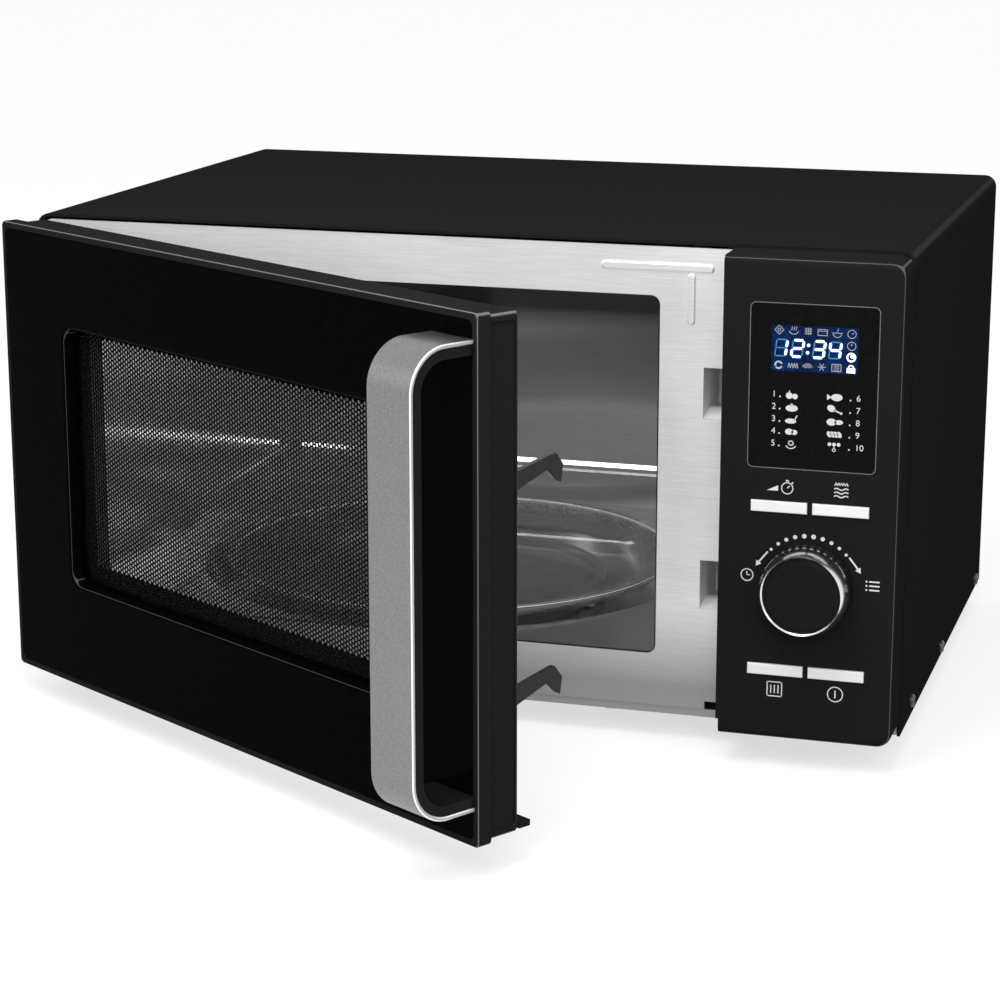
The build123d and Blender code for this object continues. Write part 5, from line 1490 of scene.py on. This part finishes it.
        # Drumstick
        high = self.row_height(1)
        sheet.disc((middle - 1.9, high + 0.6), 2.2, 0.75, -25.0)
        sheet.bar((middle - 0.6, high - 0.1), (middle + 2.8, high - 1.6), 0.7)
        sheet.disc((middle + 3.1, high - 1.7), 0.65)
        # Two rolls
        high = self.row_height(2)
        sheet.disc((middle - 1.6, high), 2.5, 0.72)
        sheet.disc((middle + 2.0, high), 2.2, 0.55)
        # Four beans
        high = self.row_height(3)
        for offset in (-2.6, -0.9, 0.8, 2.5):
            sheet.disc((middle + offset, high), 1.1, 1.5, 30.0)
        # Three peas over a ring
        high = self.row_height(4)
        for offset in (-2.3, 0.0, 2.3):
            sheet.disc((middle + offset, high + 1.2), 0.95)
        sheet.bar((middle, high + 0.3), (middle, high - 0.9), 0.4)
        sheet.ring((middle, high - 1.7), 0.75, 0.4)

    def spot_of(self, node: str) -> Point:
        """Middle of a node seen from the front, in millimetres across and up."""
        low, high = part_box(node)
        return ((low.x + high.x) / 2 / MM, (low.z + high.z) / 2 / MM)

    def key_signs(self, sheet: Stencil) -> None:
        """Draws the signs beside the four buttons.

        Args:
            sheet: Drawing to add to.
        """
        # Wedge and stop watch
        across, up = self.spot_of("button_upper_left")
        wedge = [(-6.4, 8.3), (-0.7, 8.3), (-0.7, 11.1)]
        sheet.patch([(across + x, up + y) for x, y in wedge])
        watch = (across + 4.0, up + 9.9)
        sheet.ring(watch, 2.9, 0.5)
        sheet.bar(watch, (watch[0] + 1.2, watch[1] + 1.3), 0.5)
        sheet.bar((watch[0] - 0.8, watch[1] + 3.9), (watch[0] + 0.8, watch[1] + 3.9), 0.7)
        sheet.bar((watch[0] + 2.2, watch[1] + 2.6), (watch[0] + 3.0, watch[1] + 3.2), 0.7)
        # Heater coil over three waves
        across, up = self.spot_of("button_upper_right")
        saw = [(across - 3.4 + 0.68 * n, up + (14.6 if n % 2 else 13.0)) for n in range(11)]
        sheet.line(saw, 0.45)
        for row in range(3):
            sheet.wave((across, up + 11.2 - 1.9 * row), 7.2, 0.45, 0.6)
        # Square with three bars
        across, up = self.spot_of("button_lower_left")
        sheet.square((across, up - 10.4), (7.6, 7.6), 0.55)
        for offset in (-1.9, 0.0, 1.9):
            sheet.bar((across + offset, up - 12.6), (across + offset, up - 8.2), 0.6)
        # Ring with one bar
        across, up = self.spot_of("button_lower_right")
        sheet.ring((across, up - 10.4), 3.9, 0.55)
        sheet.bar((across, up - 12.4), (across, up - 8.4), 0.7)

    def knob_signs(self, sheet: Stencil) -> None:
        """Draws the arc of dots, its arrows, the clock and the list sign round the knob.

        Args:
            sheet: Drawing to add to.
        """
        across, up = self.spot_of("knob_ring")
        for number in range(self.dots):
            share = 2 * number / (self.dots - 1) - 1
            angle = math.radians(90 - self.dot_angle * share)
            spot = (across + self.dot_reach * math.cos(angle), up + self.dot_reach * math.sin(angle))
            sheet.disc(spot, 1.25 - 0.45 * abs(share))
        # Arrows at both ends of the arc
        for side in (-1, 1):
            ends = []
            for turn, reach in ((51.0, 26.9), (66.0, 27.8), (71.5, 28.4)):
                angle = math.radians(90 - side * turn)
                ends.append(Vector((across + reach * math.cos(angle), up + reach * math.sin(angle))))
            sheet.bar(tuple(ends[0]), tuple(ends[1]), 0.9)
            run = (ends[2] - ends[1]).normalized()
            wing = Vector((-run.y, run.x)) * 1.6
            sheet.patch([tuple(ends[1] - wing), tuple(ends[2]), tuple(ends[1] + wing)])
        # Clock on the left, list on the right
        clock = (across - 31.4, up + 3.9)
        sheet.ring(clock, 3.1, 0.55)
        sheet.bar(clock, (clock[0] - 0.2, clock[1] + 1.9), 0.5)
        sheet.bar(clock, (clock[0] + 1.5, clock[1]), 0.5)
        for row in range(3):
            height = up + 5.2 - 2.2 * row
            sheet.disc((across + 30.0, height), 0.5)
            sheet.bar((across + 31.4, height), (across + 36.6, height), 0.75)

    def signs(self) -> None:
        """Prints the signs on the panel."""
        ink = Finish(
            "panel_ink", grey(0.66), grey(0.76), grain=even(1800.0), rough=(0.5, 0.6), specular=0.2,
        ).build()
        sheet = Stencil()
        self.key_signs(sheet)
        self.knob_signs(sheet)
        sheet.place("printed_signs", self.fascia, 0.0, self.ink, ink, "cabinet")


@dataclass
class Studio:
    """A pale floor, soft light and the camera, in metres, with the eye in millimetres."""

    floor_size: float = 24.0
    floor_tone: float = 0.42
    floor_lift: float = 0.64
    sky: float = 0.8
    eye: Spot = (435.1, -1501.3, 473.7)
    yaw: float = 0.2974
    pitch: float = 13.956
    lens: float = 97.57
    sensor: float = 36.0
    boxes: tuple[tuple[str, Spot, float, float], ...] = (
        ("top_softbox", (0.0, -0.65, 1.0), 0.7, 7.0),
        ("left_softbox", (-1.5, -1.1, 0.9), 1.0, 4.0),
        ("right_softbox", (1.6, -0.9, 0.8), 0.8, 2.6),
        ("front_softbox", (0.7, -2.3, 1.3), 1.2, 12.0),
    )
    oven_spot: Spot = (-0.05, 0.112, 0.222)
    oven_aim: Spot = (-0.05, 0.09, 0.0)
    oven_size: Point = (0.3, 0.02)
    oven_power: float = 0.13
    aim: Spot = (0.0, -0.1, 0.14)

    def white_seen(self, tree: bpy.types.NodeTree) -> bpy.types.NodeSocket:
        """A switch for what the camera sees directly, in a reflection or through glass.

        Args:
            tree: Node tree to add to.

        Returns:
            The socket, 1 for those rays and 0 for the rest.
        """
        path = tree.nodes.new("ShaderNodeLightPath")
        last = path.outputs["Is Camera Ray"]
        for name in ("Is Glossy Ray", "Is Transmission Ray"):
            larger = tree.nodes.new("ShaderNodeMath")
            larger.operation = "MAXIMUM"
            tree.links.new(last, larger.inputs[0])
            tree.links.new(path.outputs[name], larger.inputs[1])
            last = larger.outputs["Value"]
        return last

    def world(self) -> None:
        """Makes a white surround that lights the object evenly."""
        world = bpy.data.worlds.new("studio")
        bpy.context.scene.world = world
        world.use_nodes = True
        tree = world.node_tree
        tree.nodes.clear()
        seen = self.white_seen(tree)
        mix = tree.nodes.new("ShaderNodeMixShader")
        tree.links.new(seen, mix.inputs[0])
        for number, strength in enumerate((self.sky, 1.0), start=1):
            light = tree.nodes.new("ShaderNodeBackground")
            light.inputs["Color"].default_value = (1.0, 1.0, 1.0, 1.0)
            light.inputs["Strength"].default_value = strength
            tree.links.new(light.outputs["Background"], mix.inputs[number])
        output = tree.nodes.new("ShaderNodeOutputWorld")
        tree.links.new(mix.outputs["Shader"], output.inputs["Surface"])

    def floor(self) -> None:
        """Lays the pale floor, which keeps the object's shadow."""
        mesh = bmesh.new()
        bmesh.ops.create_grid(mesh, x_segments=1, y_segments=1, size=self.floor_size / 2)
        data = bpy.data.meshes.new("floor")
        mesh.to_mesh(data)
        mesh.free()
        floor = bpy.data.objects.new("floor", data)
        bpy.context.scene.collection.objects.link(floor)
        material = bpy.data.materials.new("pale_floor")
        material.use_nodes = True
        tree = material.node_tree
        tree.nodes.clear()
        matt = tree.nodes.new("ShaderNodeBsdfDiffuse")
        matt.inputs["Color"].default_value = (*grey(self.floor_tone), 1.0)
        glow = tree.nodes.new("ShaderNodeEmission")
        scale = tree.nodes.new("ShaderNodeMath")
        scale.operation = "MULTIPLY"
        tree.links.new(self.white_seen(tree), scale.inputs[0])
        scale.inputs[1].default_value = self.floor_lift
        tree.links.new(scale.outputs["Value"], glow.inputs["Strength"])
        both = tree.nodes.new("ShaderNodeAddShader")
        tree.links.new(matt.outputs["BSDF"], both.inputs[0])
        tree.links.new(glow.outputs["Emission"], both.inputs[1])
        output = tree.nodes.new("ShaderNodeOutputMaterial")
        tree.links.new(both.outputs["Shader"], output.inputs["Surface"])
        data.materials.append(material)

    def softbox(self, name: str, spot: Spot, aim: Spot, size: Point, power: float) -> bpy.types.Object:
        """Hangs one softbox.

        Args:
            name: Its name.
            spot: Its middle.
            aim: Where it points.
            size: Its width and height.
            power: Its power in watts.

        Returns:
            The light.
        """
        data = bpy.data.lights.new(name, "AREA")
        data.shape = "RECTANGLE"
        data.size, data.size_y = size
        data.energy = power
        light = bpy.data.objects.new(name, data)
        light.location = spot
        light.rotation_euler = (Vector(aim) - Vector(spot)).to_track_quat("-Z", "Y").to_euler()
        bpy.context.scene.collection.objects.link(light)
        return light

    def lights(self) -> None:
        """Hangs the softboxes round the object and the one in the oven."""
        for name, spot, size, power in self.boxes:
            self.softbox(name, spot, self.aim, (size, size), power)
        lamp = self.softbox("oven_softbox", self.oven_spot, self.oven_aim, self.oven_size, self.oven_power)
        lamp.visible_camera = False

    def camera(self) -> None:
        """Sets the camera at the photograph's place."""
        data = bpy.data.cameras.new("camera")
        data.lens = self.lens
        data.sensor_width = self.sensor
        camera = bpy.data.objects.new("camera", data)
        camera.location = Vector(self.eye) * MM
        camera.rotation_euler = (math.radians(90.0 - self.pitch), 0.0, self.yaw)
        bpy.context.scene.collection.objects.link(camera)
        bpy.context.scene.camera = camera
        bpy.context.scene.view_settings.view_transform = "Standard"

    def build(self) -> None:
        """Sets up the whole studio."""
        self.world()
        self.floor()
        self.lights()
        self.camera()


def main() -> None:
    """Builds and dresses the microwave oven and sets it in the studio."""
    logging.basicConfig(level=logging.INFO, format="%(message)s")
    cabinet = Cabinet()
    cabinet.dress()
    cabinet.screws()
    cabinet.seam()
    Oven().dress()
    Works().dress()
    door = Door()
    door.dress()
    door.screen()
    panel = ControlPanel()
    panel.dress()
    panel.bezel()
    panel.rim()
    panel.display()
    panel.legends()
    panel.signs()
    Studio().build()


if __name__ == "__main__":
    main()
